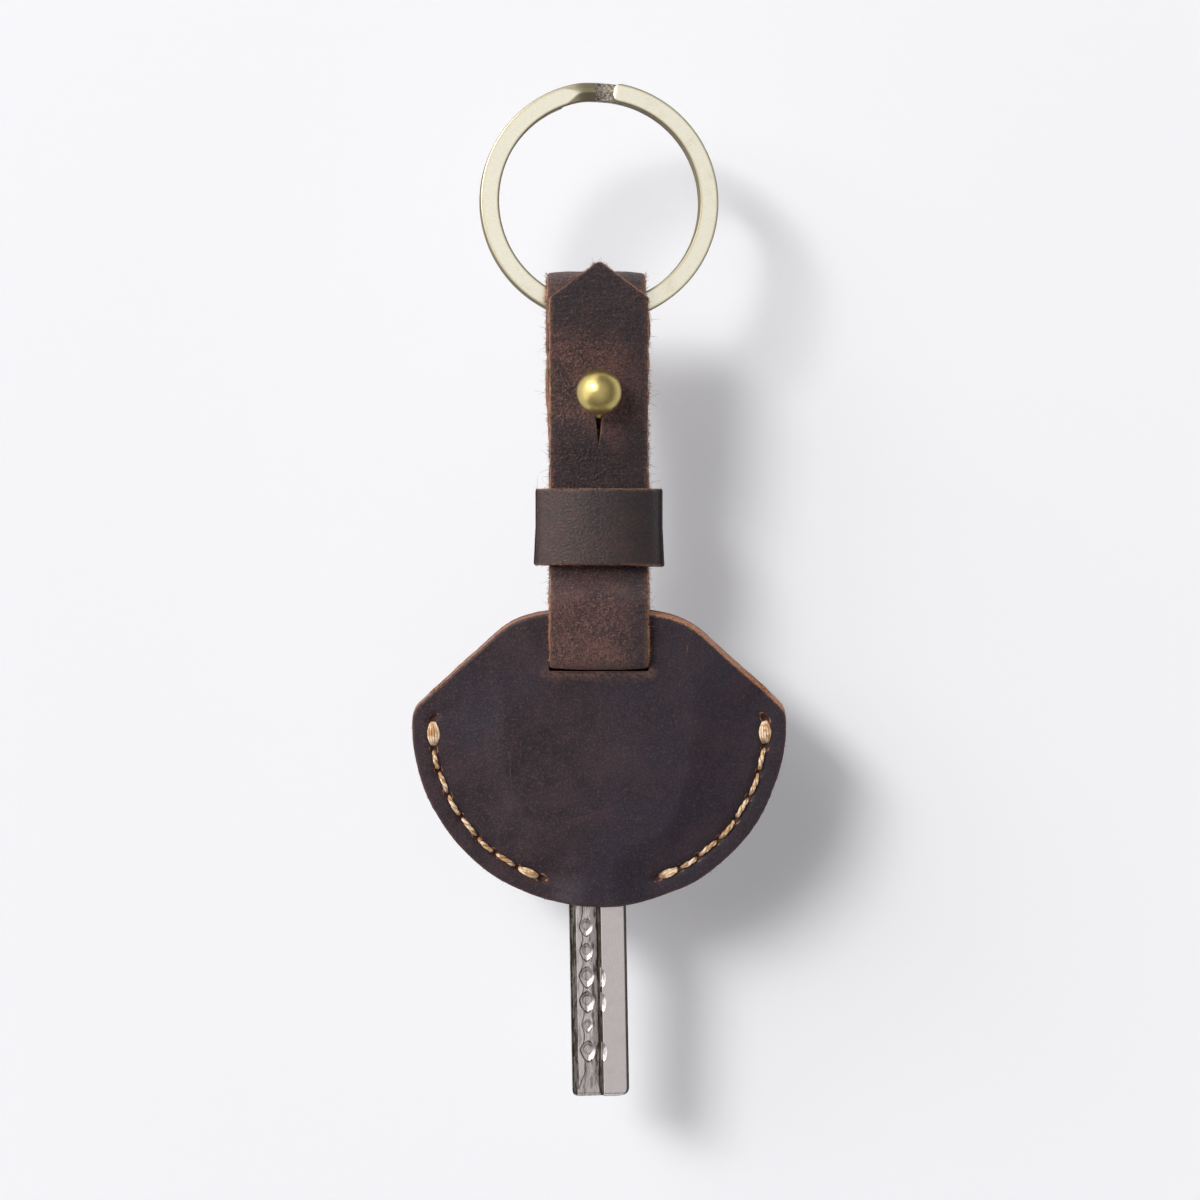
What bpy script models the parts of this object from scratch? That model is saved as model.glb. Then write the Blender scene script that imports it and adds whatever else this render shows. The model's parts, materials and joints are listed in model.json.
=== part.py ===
"""A leather key cover with its strap, keeper, ball stud, split ring and key.

The cover lies flat on its back, +Y towards the ring and +Z up. Every piece is
first placed from the point where the strap crosses the cover, and the whole is
then stood on the ground with its bounding box centred on the origin. Metres.
"""

import math

import bmesh
import bpy
from mathutils import Matrix, Vector
from mathutils.geometry import interpolate_bezier, intersect_point_line

# Leather and fit
LEATHER_THICKNESS = 0.0016
FIT_GAP = 0.0003
SEAT_GAP = 0.0001

# Cover: two panels, from the middle of the strap's crossing
COVER_WIDTH = 0.050
COVER_HEIGHT = 0.0394
COVER_TOP_ABOVE_CROSSING = 0.0069
CORNER_HEIGHT = 0.02475
CORNER_RADIUS = 0.0033
SHOULDER_ANGLE = math.radians(42.5)
TOP_RADIUS = 0.013
BOTTOM_FULLNESS = 0.0155
SIDE_FULLNESS = 0.0127
COVER_GROUND_GAP = 0.0001
SEAM_GAP = 0.0003
PINCH_START = 0.0010
PINCH_END = 0.0026
EDGE_RING_INSETS = (0.00117, 0.00247)
INNER_RING_SHARES = (0.955, 0.915, 0.87, 0.7, 0.35)

# Stitching
STITCH_INSET = 0.0026
STITCH_TOP_HEIGHT = 0.0258
STITCH_MOUTH_HALF_WIDTH = 0.0078
STITCH_COUNT = 8
THREAD_RADIUS = 0.00026
END_THREAD_RADIUS = 0.00033
THREAD_DIP = 0.0007
THREAD_RUN_IN = 0.00065
SLIT_LENGTH = 0.0019
SLIT_WIDTH = 0.0010

# Strap: heights are measured up the strap from the crossing
STRAP_WIDTH = 0.013
STRAP_BEND_RADIUS = 0.0004
STRAP_LEAVES_COVER = 0.0005
FLARE_LENGTH = 0.0048
LOOP_FLARE_START = 0.0398
LOOP_CENTRE_HEIGHT = 0.04789
LOOP_CAVITY_RADIUS = 0.00305
SHORT_END_HEIGHT = 0.0316

# Tongue: the strap's free end above the keeper
TONGUE_HINGE_HEIGHT = 0.0246
TONGUE_FLAT_LENGTH = 0.0017
TONGUE_TIP_HEIGHT = 0.0531
TONGUE_SHOULDER_HEIGHT = 0.0485
BUTTONHOLE_RADIUS = 0.0021
BUTTON_SLIT_LENGTH = 0.0042
BUTTON_SLIT_WIDTH = 0.0009
TONGUE_RISE_AT_STUD = 0.35

# Keeper
KEEPER_HEIGHT = 0.0102
KEEPER_BOTTOM = 0.01315
KEEPER_SIDE_GAP = 0.0004
KEEPER_INNER_RADIUS = 0.0006
KEEPER_GROOVE = 0.00035

# Stud and its screw
STUD_HEIGHT = 0.0359
BALL_RADIUS = 0.0030
NECK_RADIUS = 0.0018
FLANGE_RADIUS = 0.0032
FLANGE_THICKNESS = 0.0006
SHANK_RADIUS = 0.0009
SHANK_DEPTH_IN_STUD = 0.0022
SHANK_TIP_RADIUS = 0.0007
SHANK_TIP_TAPER = 0.00035
SCREW_HEAD_RADIUS = 0.0035
SCREW_HEAD_THICKNESS = 0.0009
SCREW_HEAD_RIM = 0.00035
SCREW_HEAD_FACE_RADIUS = 0.0028
SCREW_SLOT_WIDTH = 0.0008
SCREW_SLOT_DEPTH = 0.0004

# Split ring: a flat wire wound twice round
RING_OUTER_RADIUS = 0.016
RING_WIRE_WIDTH = 0.0025
RING_WIRE_THICKNESS = 0.0010
RING_TURN_GAP = 0.00042
RING_WIRE_CHAMFER = 0.0002
RING_TILT = math.radians(6.0)
RING_START_ANGLE = math.radians(82.7)
RING_JOG_START_ANGLE = math.radians(103.0)
RING_JOG_LENGTH = math.radians(16.0)
RING_END_GAP = math.radians(6.0)
RING_POINTS_PER_TURN = 36

# Key
KEY_THICKNESS = 0.0023
KEY_TIP_BELOW_CROSSING = 0.0584
KEY_REST_ANGLE = math.radians(1.03)
KEY_SIDE_SHIFT = -0.0008
BLADE_WIDTH = 0.00765
BLADE_TIP_RADIUS = 0.0006
BOW_WIDTH = 0.0245
BOW_HEIGHT = 0.023
BOW_TOP_ABOVE_CROSSING = 0.0048
BOW_CORNER_RADIUS = 0.007
BOW_FILLET_RADIUS = 0.0012
BOW_SHOULDER_ANGLE = math.radians(72.0)
EYE_HALF_WIDTH = 0.0076
EYE_ABOVE_CROSSING = 0.0016
EYE_BELOW_CROSSING = 0.0034
EYE_CORNER_RADIUS = 0.0012
EDGE_RIB_WIDTH = 0.00045
EDGE_GROOVE_WIDTH = 0.0006
TRACK_WIDTH = 0.0028
INNER_GROOVE_WIDTH = 0.00055
CUTS_LENGTH = 0.0300
GROOVE_DEPTH = 0.0005
TRACK_DEPTH = 0.00015
TIP_RAMP_LENGTH = 0.0045
TIP_RAMP_DEPTH = 0.0006
DIMPLE_RADIUS = 0.0008
DIMPLE_FLOOR_RADIUS = 0.0004
DIMPLE_DEPTH = 0.0006
DIMPLE_FIRST_FROM_TIP = 0.0064
DIMPLE_PITCH = 0.00335
DIMPLE_COUNT = 6
SMALL_DIMPLE_SHARE = 0.65
SMALL_DIMPLES = (1,)
SCALLOP_RADIUS = 0.0008
SCALLOPED_DIMPLES = (0, 2, 3)

# Steps on the round stretches
COVER_SIDE_STEPS = 22
CORNER_STEPS = 4
BLEND_STEPS = 8
BEND_STEPS = 6
LOOP_STEPS = 14
BALL_STEPS = 10
TURNED_SIDES = 20
HOLE_SIDES = 24
DIMPLE_SIDES = 10

# Worked out from the sizes above
HALF_KEY_SPACE = KEY_THICKNESS / 2 + FIT_GAP
PANEL_FACE = HALF_KEY_SPACE + LEATHER_THICKNESS
COVER_BOTTOM = COVER_TOP_ABOVE_CROSSING - COVER_HEIGHT
LEG_MIDDLE = PANEL_FACE + FIT_GAP + LEATHER_THICKNESS / 2
CLOSED_MIDDLE = (LEATHER_THICKNESS + FIT_GAP) / 2
CLOSED_FACE = CLOSED_MIDDLE + LEATHER_THICKNESS / 2
LOOP_MIDDLE_RADIUS = LOOP_CAVITY_RADIUS + LEATHER_THICKNESS / 2
GROUND_BELOW_MIDDLE = LEG_MIDDLE + LEATHER_THICKNESS / 2
COVER_TILT = math.asin((GROUND_BELOW_MIDDLE - PANEL_FACE - COVER_GROUND_GAP) / -COVER_BOTTOM)
FLANGE_TOP = CLOSED_FACE + SEAT_GAP + FLANGE_THICKNESS
TONGUE_AT_FLANGE = FLANGE_TOP + FIT_GAP + LEATHER_THICKNESS / 2
TONGUE_AT_LOOP = LOOP_CAVITY_RADIUS + LEATHER_THICKNESS * 1.5 + FIT_GAP
TONGUE_AT_STUD = TONGUE_AT_FLANGE + (TONGUE_AT_LOOP - TONGUE_AT_FLANGE) * TONGUE_RISE_AT_STUD
BALL_CENTRE = (
    TONGUE_AT_STUD
    + LEATHER_THICKNESS / 2
    + FIT_GAP * 2
    + math.sqrt(BALL_RADIUS**2 - BUTTONHOLE_RADIUS**2)
)
RING_PITCH = RING_WIRE_THICKNESS + RING_TURN_GAP
RING_MIDDLE_RADIUS = RING_OUTER_RADIUS - RING_WIRE_WIDTH / 2
RING_INNER_RADIUS = RING_OUTER_RADIUS - RING_WIRE_WIDTH
RING_SAG = RING_INNER_RADIUS - math.sqrt(RING_INNER_RADIUS**2 - (STRAP_WIDTH / 2) ** 2)
RING_CENTRE_ABOVE_AXIS = RING_OUTER_RADIUS - (RING_WIRE_WIDTH + RING_SAG) / 2


def remove_all_objects():
    for thing in list(bpy.data.objects):
        bpy.data.objects.remove(thing, do_unlink=True)


def new_collection(name):
    collection = bpy.data.collections.new(name)
    bpy.context.scene.collection.children.link(collection)
    return collection


def finish(name, colour, roughness, metallic):
    """A plain Principled material."""
    material = bpy.data.materials.new(name)
    material.use_nodes = True
    shader = material.node_tree.nodes["Principled BSDF"]
    shader.inputs["Base Color"].default_value = (*colour, 1.0)
    shader.inputs["Roughness"].default_value = roughness
    shader.inputs["Metallic"].default_value = metallic
    return material


remove_all_objects()
PARTS = new_collection("key_fob_cover")
CUTTERS = new_collection("cutters")
LEATHER = finish("dark_leather", (0.052, 0.033, 0.028), 0.62, 0.0)
KEEPER_LEATHER = finish("keeper_leather", (0.065, 0.038, 0.030), 0.5, 0.0)
WAXED_THREAD = finish("waxed_thread", (0.72, 0.47, 0.22), 0.6, 0.0)
BRASS = finish("satin_brass", (0.66, 0.50, 0.20), 0.32, 1.0)
PALE_BRASS = finish("pale_brass", (0.68, 0.62, 0.42), 0.3, 1.0)
NICKEL = finish("nickel_silver", (0.55, 0.53, 0.50), 0.28, 1.0)


def empty(name, location, parent=None, tilt=0.0):
    """A frame for the pieces that share a place or a joint axis."""
    frame = bpy.data.objects.new(name, None)
    frame.location = location
    frame.rotation_euler = (tilt, 0.0, 0.0)
    frame.parent = parent
    bpy.context.scene.collection.objects.link(frame)
    return frame


def add_part(name, mesh, material, parent, smooth_angle=30.0):
    part = bpy.data.objects.new(name, mesh)
    mesh.materials.clear()
    mesh.materials.append(material)
    mesh.shade_smooth()
    mesh.set_sharp_from_angle(angle=math.radians(smooth_angle))
    part.parent = parent
    PARTS.objects.link(part)
    return part


def add_cutter(name, mesh, parent):
    cutter = bpy.data.objects.new(name, mesh)
    cutter.parent = parent
    cutter.hide_render = True
    cutter.display_type = "WIRE"
    CUTTERS.objects.link(cutter)
    return cutter


def boolean(part, cutter, operation="DIFFERENCE"):
    modifier = part.modifiers.new(cutter.name, "BOOLEAN")
    modifier.operation = operation
    modifier.solver = "EXACT"
    modifier.object = cutter


def mesh_from(name, build):
    """A new mesh filled by a function that works on a bmesh."""
    mesh = bpy.data.meshes.new(name)
    work = bmesh.new()
    build(work)
    work.to_mesh(mesh)
    work.free()
    return mesh


def curve_to_mesh(curve_object):
    """The curve's evaluated mesh, its caps welded, with the curve removed."""
    bpy.context.scene.collection.objects.link(curve_object)
    depsgraph = bpy.context.evaluated_depsgraph_get()
    mesh = bpy.data.meshes.new_from_object(curve_object.evaluated_get(depsgraph))
    work = bmesh.new()
    work.from_mesh(mesh)
    bmesh.ops.remove_doubles(work, verts=work.verts, dist=1e-7)
    bmesh.ops.recalc_face_normals(work, faces=work.faces)
    work.to_mesh(mesh)
    work.free()
    bpy.data.objects.remove(curve_object, do_unlink=True)
    return mesh


def flat_outline(name, outlines, half_depth):
    """Closed outlines, the first outside and the others holes, with a thickness along Z."""
    curve = bpy.data.curves.new(name, "CURVE")
    curve.dimensions = "2D"
    curve.fill_mode = "BOTH"
    curve.extrude = half_depth
    for outline in outlines:
        spline = curve.splines.new("POLY")
        spline.points.add(len(outline) - 1)
        spline.use_cyclic_u = True
        for point, place in zip(spline.points, outline):
            point.co = (place[0], place[1], 0.0, 1.0)
    return curve_to_mesh(bpy.data.objects.new(name, curve))


def turned(name, profile, material, parent):
    """A profile of (radius, height) pairs, from the top down, turned about Z."""

    def line(work):
        corners = [work.verts.new((radius, 0.0, height)) for radius, height in profile]
        for first, second in zip(corners, corners[1:]):
            work.edges.new((first, second))

    part = add_part(name, mesh_from(name, line), material, parent)
    screw = part.modifiers.new("Turn", "SCREW")
    screw.steps = TURNED_SIDES
    screw.render_steps = TURNED_SIDES
    screw.use_merge_vertices = True
    screw.merge_threshold = 1e-6
    return part


def arc(centre, radius, start, end, count):
    """Points on an arc, both ends included."""
    angles = [start + (end - start) * step / count for step in range(count + 1)]
    return [Vector((centre[0] + radius * math.cos(a), centre[1] + radius * math.sin(a))) for a in angles]


def rounded_box(half_width, low, high, radius, count):
    """A rectangle with round corners, from low to high, centred on x = 0."""
    places = (
        (half_width - radius, high - radius, 0.0),
        (radius - half_width, high - radius, math.pi / 2),
        (radius - half_width, low + radius, math.pi),
        (half_width - radius, low + radius, math.pi * 1.5),
    )
    points = []
    for x, y, start in places:
        points += arc((x, y), radius, start, start + math.pi / 2, count)
    return points


def smoothstep(share):
    share = min(max(share, 0.0), 1.0)
    return share * share * (3.0 - 2.0 * share)


def eased(start, end, count):
    """Points on an S-curve between two points of a centreline, without its start."""
    points = []
    for step in range(1, count + 1):
        share = step / count
        along = start[0] + (end[0] - start[0]) * share
        points.append(Vector((along, start[1] + (end[1] - start[1]) * smoothstep(share))))
    return points


def cover_half_outline():
    """The right half of a panel's outline, from the bottom middle up to the top."""
    half = COVER_WIDTH / 2
    corner_centre = (half - CORNER_RADIUS, COVER_BOTTOM + CORNER_HEIGHT)
    lower = interpolate_bezier(
        Vector((0.0, COVER_BOTTOM)),
        Vector((BOTTOM_FULLNESS, COVER_BOTTOM)),
        Vector((half, corner_centre[1] - SIDE_FULLNESS)),
        Vector((half, corner_centre[1])),
        COVER_SIDE_STEPS,
    )
    turn = math.pi / 2 - SHOULDER_ANGLE
    corner = arc(corner_centre, CORNER_RADIUS, 0.0, turn, CORNER_STEPS)
    top_centre_height = COVER_TOP_ABOVE_CROSSING - TOP_RADIUS
    rise = top_centre_height + TOP_RADIUS * math.sin(turn) - corner[-1].y
    shoulder_end = corner[-1].x - rise / math.tan(SHOULDER_ANGLE)
    top_centre = (shoulder_end - TOP_RADIUS * math.cos(turn), top_centre_height)
    top = arc(top_centre, TOP_RADIUS, turn, math.pi / 2, CORNER_STEPS + 1)
    shoulder = [corner[-1].lerp(top[0], share) for share in (1 / 3, 2 / 3)]
    return [Vector(point) for point in lower] + corner[1:] + shoulder + top


def mirrored(half):
    """A closed outline from its right half, which starts and ends near x = 0."""
    left = [Vector((-point.x, point.y)) for point in reversed(half) if point.x > 1e-9]
    return list(half) + left


def offset_line(points, distance, closed=False):
    """The line moved to its left by a distance, square to itself."""
    moved = []
    last = len(points) - 1
    for index, point in enumerate(points):
        before = points[index - 1] if index > 0 or closed else point
        after = points[(index + 1) % len(points)] if index < last or closed else point
        along = (after - before).normalized()
        moved.append(point + Vector((-along.y, along.x)) * distance)
    return moved


def seam_run(past_ends=0.0):
    """The points of the right-hand seam that are sewn, from the mouth up."""
    seam = offset_line(cover_half_outline(), STITCH_INSET)
    mouth = STITCH_MOUTH_HALF_WIDTH - past_ends
    top = COVER_BOTTOM + STITCH_TOP_HEIGHT + past_ends
    return [p for p in seam if p.x >= mouth and p.y <= top]


def sewn_border():
    """Points between the sewn stretch and the panel's edge, where the leathers lie together."""
    run = seam_run(SLIT_LENGTH / 2)
    points = []
    for distance in (0.0, -STITCH_INSET / 2, -STITCH_INSET):
        points += offset_line(run, distance)
    return points


def panel_gap(x, y, border):
    """Half the space between the panels: closed along the sewn border, open over the key."""
    distance = min((Vector((abs(x), y)) - point).length for point in border)
    opening = smoothstep((distance - PINCH_START) / (PINCH_END - PINCH_START))
    return SEAM_GAP / 2 + (HALF_KEY_SPACE - SEAM_GAP / 2) * opening


def along_seam(distance_share):
    """A point on the right-hand seam, and the way the seam runs there."""
    run = seam_run()
    lengths = [(b - a).length for a, b in zip(run, run[1:])]
    left = sum(lengths) * distance_share
    for start, end, length in zip(run, run[1:], lengths):
        if left <= length + 1e-9:
            return start.lerp(end, left / length), (end - start).normalized()
        left -= length
    return run[-1], (run[-1] - run[-2]).normalized()


def stitch_places(side):
    """Where the thread goes through the leather on one side, from the mouth up."""
    places = []
    for index in range(STITCH_COUNT + 1):
        point, way = along_seam(index / STITCH_COUNT)
        places.append((Vector((point.x * side, point.y)), Vector((way.x * side, way.y))))
    return places


def add_slit_cutters(parent):
    """One short slit for each stitch hole, through both panels."""

    def boxes(work):
        for side in (-1, 1):
            for point, way in stitch_places(side):
                turn = Matrix.Rotation(math.atan2(way.y, way.x), 4, "Z")
                size = Matrix.Diagonal((SLIT_LENGTH, SLIT_WIDTH, PANEL_FACE * 4, 1.0))
                place = Matrix.Translation((point.x, point.y, 0.0))
                bmesh.ops.create_cube(work, size=1.0, matrix=place @ turn @ size)

    return add_cutter("stitch_slits", mesh_from("stitch_slits", boxes), parent)


def add_slot_cutter(parent):
    half_height = LEATHER_THICKNESS / 2 + FIT_GAP
    half_width = STRAP_WIDTH / 2 + FIT_GAP
    outline = rounded_box(half_width, -half_height, half_height, FIT_GAP, CORNER_STEPS // 2)
    return add_cutter("strap_slot", flat_outline("strap_slot", [outline], PANEL_FACE * 2), parent)


def add_panel(name, face, parent, cutters):
    """A domed sheet inside the outline, thickened away from the key."""
    borders = [mirrored(cover_half_outline())]
    for inset in EDGE_RING_INSETS:
        borders.append(offset_line(borders[0], inset, closed=True))
    centre = Vector((0.0, COVER_BOTTOM + COVER_HEIGHT / 2))
    for share in INNER_RING_SHARES:
        borders.append([centre.lerp(point, share) for point in borders[2]])
    sewn = sewn_border()

    def sheet(work):
        rings = []
        for border in borders:
            rings.append([work.verts.new((p.x, p.y, face * panel_gap(p.x, p.y, sewn))) for p in border])
        for outer, inner in zip(rings, rings[1:]):
            for index in range(len(outer)):
                work.faces.new((outer[index - 1], outer[index], inner[index], inner[index - 1]))
        work.faces.new(rings[-1])
        if face < 0:
            bmesh.ops.reverse_faces(work, faces=work.faces)

    panel = add_part(name, mesh_from(name, sheet), LEATHER, parent)
    shell = panel.modifiers.new("Leather", "SOLIDIFY")
    shell.thickness = LEATHER_THICKNESS
    shell.offset = 1.0
    for cutter in cutters:
        boolean(panel, cutter)
    return panel


def add_thread(name, side, parent):
    """Saddle stitching: a dash from hole to hole on each face, joined through each hole."""
    surface = SEAM_GAP / 2 + LEATHER_THICKNESS + SEAT_GAP
    corner = math.sqrt(2.0)
    dip = surface + THREAD_RADIUS * corner - THREAD_DIP
    places = stitch_places(side)
    thick = []

    def ladder(work):
        for face in (-1, 1):
            holes = [work.verts.new((p.x, p.y, face * dip)) for p, _ in places]
            for index, (lower, upper) in enumerate(zip(holes, holes[1:])):
                at_end = index in (0, STITCH_COUNT - 1)
                radius = END_THREAD_RADIUS if at_end else THREAD_RADIUS
                rise = Vector((0.0, 0.0, face * (surface + radius * corner - dip)))
                run = (upper.co - lower.co).normalized() * THREAD_RUN_IN
                start = work.verts.new(lower.co + run + rise)
                end = work.verts.new(upper.co - run + rise)
                for pair in ((lower, start), (start, end), (end, upper)):
                    work.edges.new(pair)
                if at_end:
                    work.verts.index_update()
                    thick.extend((start.index, end.index))
            if face == -1:
                back_holes = holes
        for back, front in zip(back_holes, holes):
            work.edges.new((back, front))

    thread = add_part(name, mesh_from(name, ladder), WAXED_THREAD, parent, 60.0)
    skin = thread.modifiers.new("Thread", "SKIN")
    skin.use_smooth_shade = True
    for index, point in enumerate(thread.data.skin_vertices[0].data):
        radius = END_THREAD_RADIUS if index in thick else THREAD_RADIUS
        point.radius = (radius, radius)
    return thread


def strap_side(centreline):
    """The outline of a strip's side, seen along its width."""
    half = LEATHER_THICKNESS / 2
    return offset_line(centreline, half) + list(reversed(offset_line(centreline, -half)))


def strip(name, centreline, material, parent):
    """A leather strip of the strap's width that follows a centreline of (height, z)."""
    mesh = flat_outline(name, [strap_side(centreline)], STRAP_WIDTH / 2)
    mesh.transform(Matrix(((0, 0, 1, 0), (1, 0, 0, 0), (0, 1, 0, 0), (0, 0, 0, 1))))
    return add_part(name, mesh, material, parent)


def strap_centreline():
    """From the hinge line down the front, through the cover, up the back and round the ring."""
    flare_start = COVER_TOP_ABOVE_CROSSING + STRAP_LEAVES_COVER
    flare_end = flare_start + FLARE_LENGTH
    bend = STRAP_BEND_RADIUS + LEATHER_THICKNESS / 2
    lean = math.tan(COVER_TILT)
    front_bottom = LEG_MIDDLE + bend * lean
    front_top = LEG_MIDDLE + flare_start * lean
    points = [Vector((TONGUE_HINGE_HEIGHT - FIT_GAP / 2, CLOSED_MIDDLE))]
    points.append(Vector((flare_end, CLOSED_MIDDLE)))
    points += eased((flare_end, CLOSED_MIDDLE), (flare_start, front_top), BLEND_STEPS)
    points += arc((bend, front_bottom - bend), bend, math.pi / 2, math.pi, BEND_STEPS)
    points += arc((bend, bend - LEG_MIDDLE), bend, math.pi, math.pi * 1.5, BEND_STEPS)
    points.append(Vector((flare_start, -LEG_MIDDLE)))
    points += eased((flare_start, -LEG_MIDDLE), (flare_end, -CLOSED_MIDDLE), BLEND_STEPS)
    loop_foot = (LOOP_FLARE_START, -CLOSED_MIDDLE)
    loop_side = (LOOP_CENTRE_HEIGHT, -LOOP_MIDDLE_RADIUS)
    points.append(Vector(loop_foot))
    points += eased(loop_foot, loop_side, BLEND_STEPS)
    loop = arc((LOOP_CENTRE_HEIGHT, 0.0), LOOP_MIDDLE_RADIUS, -math.pi / 2, math.pi / 2, LOOP_STEPS)
    points += loop[1:]
    points += eased((loop_side[0], -loop_side[1]), (loop_foot[0], -loop_foot[1]), BLEND_STEPS)
    points.append(Vector((SHORT_END_HEIGHT, CLOSED_MIDDLE)))
    return points


def tongue_centreline():
    """From the hinge line over the flange of the stud to the tip above the loop."""
    foot = (TONGUE_HINGE_HEIGHT + FIT_GAP / 2, CLOSED_MIDDLE)
    rise = (TONGUE_HINGE_HEIGHT + TONGUE_FLAT_LENGTH, CLOSED_MIDDLE)
    flange = (STUD_HEIGHT - FLANGE_RADIUS, TONGUE_AT_FLANGE)
    loop = (LOOP_CENTRE_HEIGHT, TONGUE_AT_LOOP)
    tip = (TONGUE_TIP_HEIGHT, TONGUE_AT_LOOP)
    points = [Vector(foot), Vector(rise)]
    points += eased(rise, flange, BLEND_STEPS)
    points += eased(flange, loop, BEND_STEPS)
    points.append(Vector(tip))
    return points


def hole_through_strap(name, radius, parent):
    """A round cutter along Z at the stud, through every layer."""

    def rod(work):
        bmesh.ops.create_cone(
            work,
            cap_ends=True,
            segments=HOLE_SIDES,
            radius1=radius,
            radius2=radius,
            depth=BALL_CENTRE * 4,
            matrix=Matrix.Translation((0.0, STUD_HEIGHT, 0.0)),
        )

    return add_cutter(name, mesh_from(name, rod), parent)


def add_strap(parent):
    strap = strip("strap", strap_centreline(), LEATHER, parent)
    boolean(strap, hole_through_strap("screw_hole", SHANK_RADIUS + FIT_GAP, parent))
    return strap


def add_tongue(parent):
    """The strap's free end: pointed tip, buttonhole and the slit that lets the ball through."""
    tongue = strip("strap_tongue", tongue_centreline(), LEATHER, parent)
    half = STRAP_WIDTH / 2
    point = [
        (half * 2, 0.0),
        (half * 2, TONGUE_SHOULDER_HEIGHT),
        (half, TONGUE_SHOULDER_HEIGHT),
        (0.0, TONGUE_TIP_HEIGHT),
        (-half, TONGUE_SHOULDER_HEIGHT),
        (-half * 2, TONGUE_SHOULDER_HEIGHT),
        (-half * 2, 0.0),
    ]
    tip_mesh = flat_outline("pointed_tip", [point], BALL_CENTRE * 2)
    boolean(tongue, add_cutter("pointed_tip", tip_mesh, parent), "INTERSECT")
    boolean(tongue, hole_through_strap("buttonhole", BUTTONHOLE_RADIUS, parent))
    bottom = STUD_HEIGHT - BUTTONHOLE_RADIUS - BUTTON_SLIT_LENGTH
    slit = [(-BUTTON_SLIT_WIDTH / 2, STUD_HEIGHT), (0.0, bottom), (BUTTON_SLIT_WIDTH / 2, STUD_HEIGHT)]
    slit_mesh = flat_outline("button_slit", [slit], BALL_CENTRE * 2)
    boolean(tongue, add_cutter("button_slit", slit_mesh, parent))
    return tongue


def add_keeper(parent):
    """A closed loop of leather, its glued ends meeting in a shallow groove at the back."""
    inner_width = STRAP_WIDTH / 2 + KEEPER_SIDE_GAP
    inner_face = CLOSED_FACE + FIT_GAP
    outer_face = inner_face + LEATHER_THICKNESS
    outer_radius = KEEPER_INNER_RADIUS + LEATHER_THICKNESS
    outer_width = inner_width + LEATHER_THICKNESS
    outer = rounded_box(outer_width, -outer_face, outer_face, outer_radius, CORNER_STEPS)
    last = len(outer) // 4 * 3
    groove = [
        Vector((-KEEPER_GROOVE, -outer_face)),
        Vector((0.0, KEEPER_GROOVE - outer_face)),
        Vector((KEEPER_GROOVE, -outer_face)),
    ]
    outer = outer[:last] + groove + outer[last:]
    inner = rounded_box(inner_width, -inner_face, inner_face, KEEPER_INNER_RADIUS, CORNER_STEPS)
    mesh = flat_outline("keeper", [outer, inner], KEEPER_HEIGHT / 2)
    middle = KEEPER_HEIGHT / 2
    mesh.transform(Matrix(((1, 0, 0, 0), (0, 0, -1, middle), (0, 1, 0, 0), (0, 0, 0, 1))))
    return add_part("keeper", mesh, KEEPER_LEATHER, parent)


def add_stud(parent):
    """Ball, neck and flange in one turned piece, bored from below for the screw."""
    seat = CLOSED_FACE + SEAT_GAP
    bore = SHANK_RADIUS + FIT_GAP
    meets_neck = math.asin(NECK_RADIUS / BALL_RADIUS)
    profile = []
    for step in range(BALL_STEPS + 1):
        angle = (math.pi - meets_neck) * step / BALL_STEPS
        profile.append((BALL_RADIUS * math.sin(angle), BALL_CENTRE + BALL_RADIUS * math.cos(angle)))
    profile += [
        (NECK_RADIUS, FLANGE_TOP),
        (FLANGE_RADIUS, FLANGE_TOP),
        (FLANGE_RADIUS, seat),
        (bore, seat),
        (bore, seat + SHANK_DEPTH_IN_STUD + FIT_GAP),
        (0.0, seat + SHANK_DEPTH_IN_STUD + FIT_GAP),
    ]
    return turned("stud", profile, BRASS, parent)


def add_stud_screw(parent):
    """A low slotted head behind the strap, with its shank up into the stud."""
    top = CLOSED_FACE + SEAT_GAP + SHANK_DEPTH_IN_STUD
    seat = -CLOSED_FACE - SEAT_GAP
    bottom = seat - SCREW_HEAD_THICKNESS
    profile = [
        (0.0, top),
        (SHANK_TIP_RADIUS, top),
        (SHANK_RADIUS, top - SHANK_TIP_TAPER),
        (SHANK_RADIUS, seat),
        (SCREW_HEAD_RADIUS, seat),
        (SCREW_HEAD_RADIUS, seat - SCREW_HEAD_RIM),
        (SCREW_HEAD_FACE_RADIUS, bottom),
        (0.0, bottom),
    ]
    screw = turned("stud_screw", profile, BRASS, parent)

    def bar(work):
        depth = SCREW_SLOT_DEPTH * 2
        size = Matrix.Diagonal((SCREW_HEAD_RADIUS * 3, SCREW_SLOT_WIDTH, depth, 1.0))
        bmesh.ops.create_cube(work, size=1.0, matrix=Matrix.Translation((0.0, 0.0, bottom)) @ size)

    boolean(screw, add_cutter("screw_slot", mesh_from("screw_slot", bar), parent))
    return screw


def ring_path():
    """The wire's centreline: a turn in front, a short jog down, then a turn behind it."""
    step = math.tau / RING_POINTS_PER_TURN
    front = RING_PITCH / 2
    front_sweep = math.tau - (RING_JOG_START_ANGLE - RING_START_ANGLE)
    back_sweep = math.tau - RING_JOG_LENGTH - RING_END_GAP
    turns = (
        (0.0, front_sweep, front, front),
        (front_sweep, RING_JOG_LENGTH, front, -front),
        (front_sweep + RING_JOG_LENGTH, back_sweep, -front, -front),
    )
    points = []
    for start, sweep, level_from, level_to in turns:
        count = max(round(sweep / step), BEND_STEPS)
        for index in range(count + 1):
            if index == 0 and points:
                continue
            share = index / count
            angle = RING_START_ANGLE - start - sweep * share
            level = level_from + (level_to - level_from) * smoothstep(share)
            across = RING_MIDDLE_RADIUS * math.cos(angle)
            points.append(Vector((across, RING_MIDDLE_RADIUS * math.sin(angle), level)))
    return points


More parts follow.
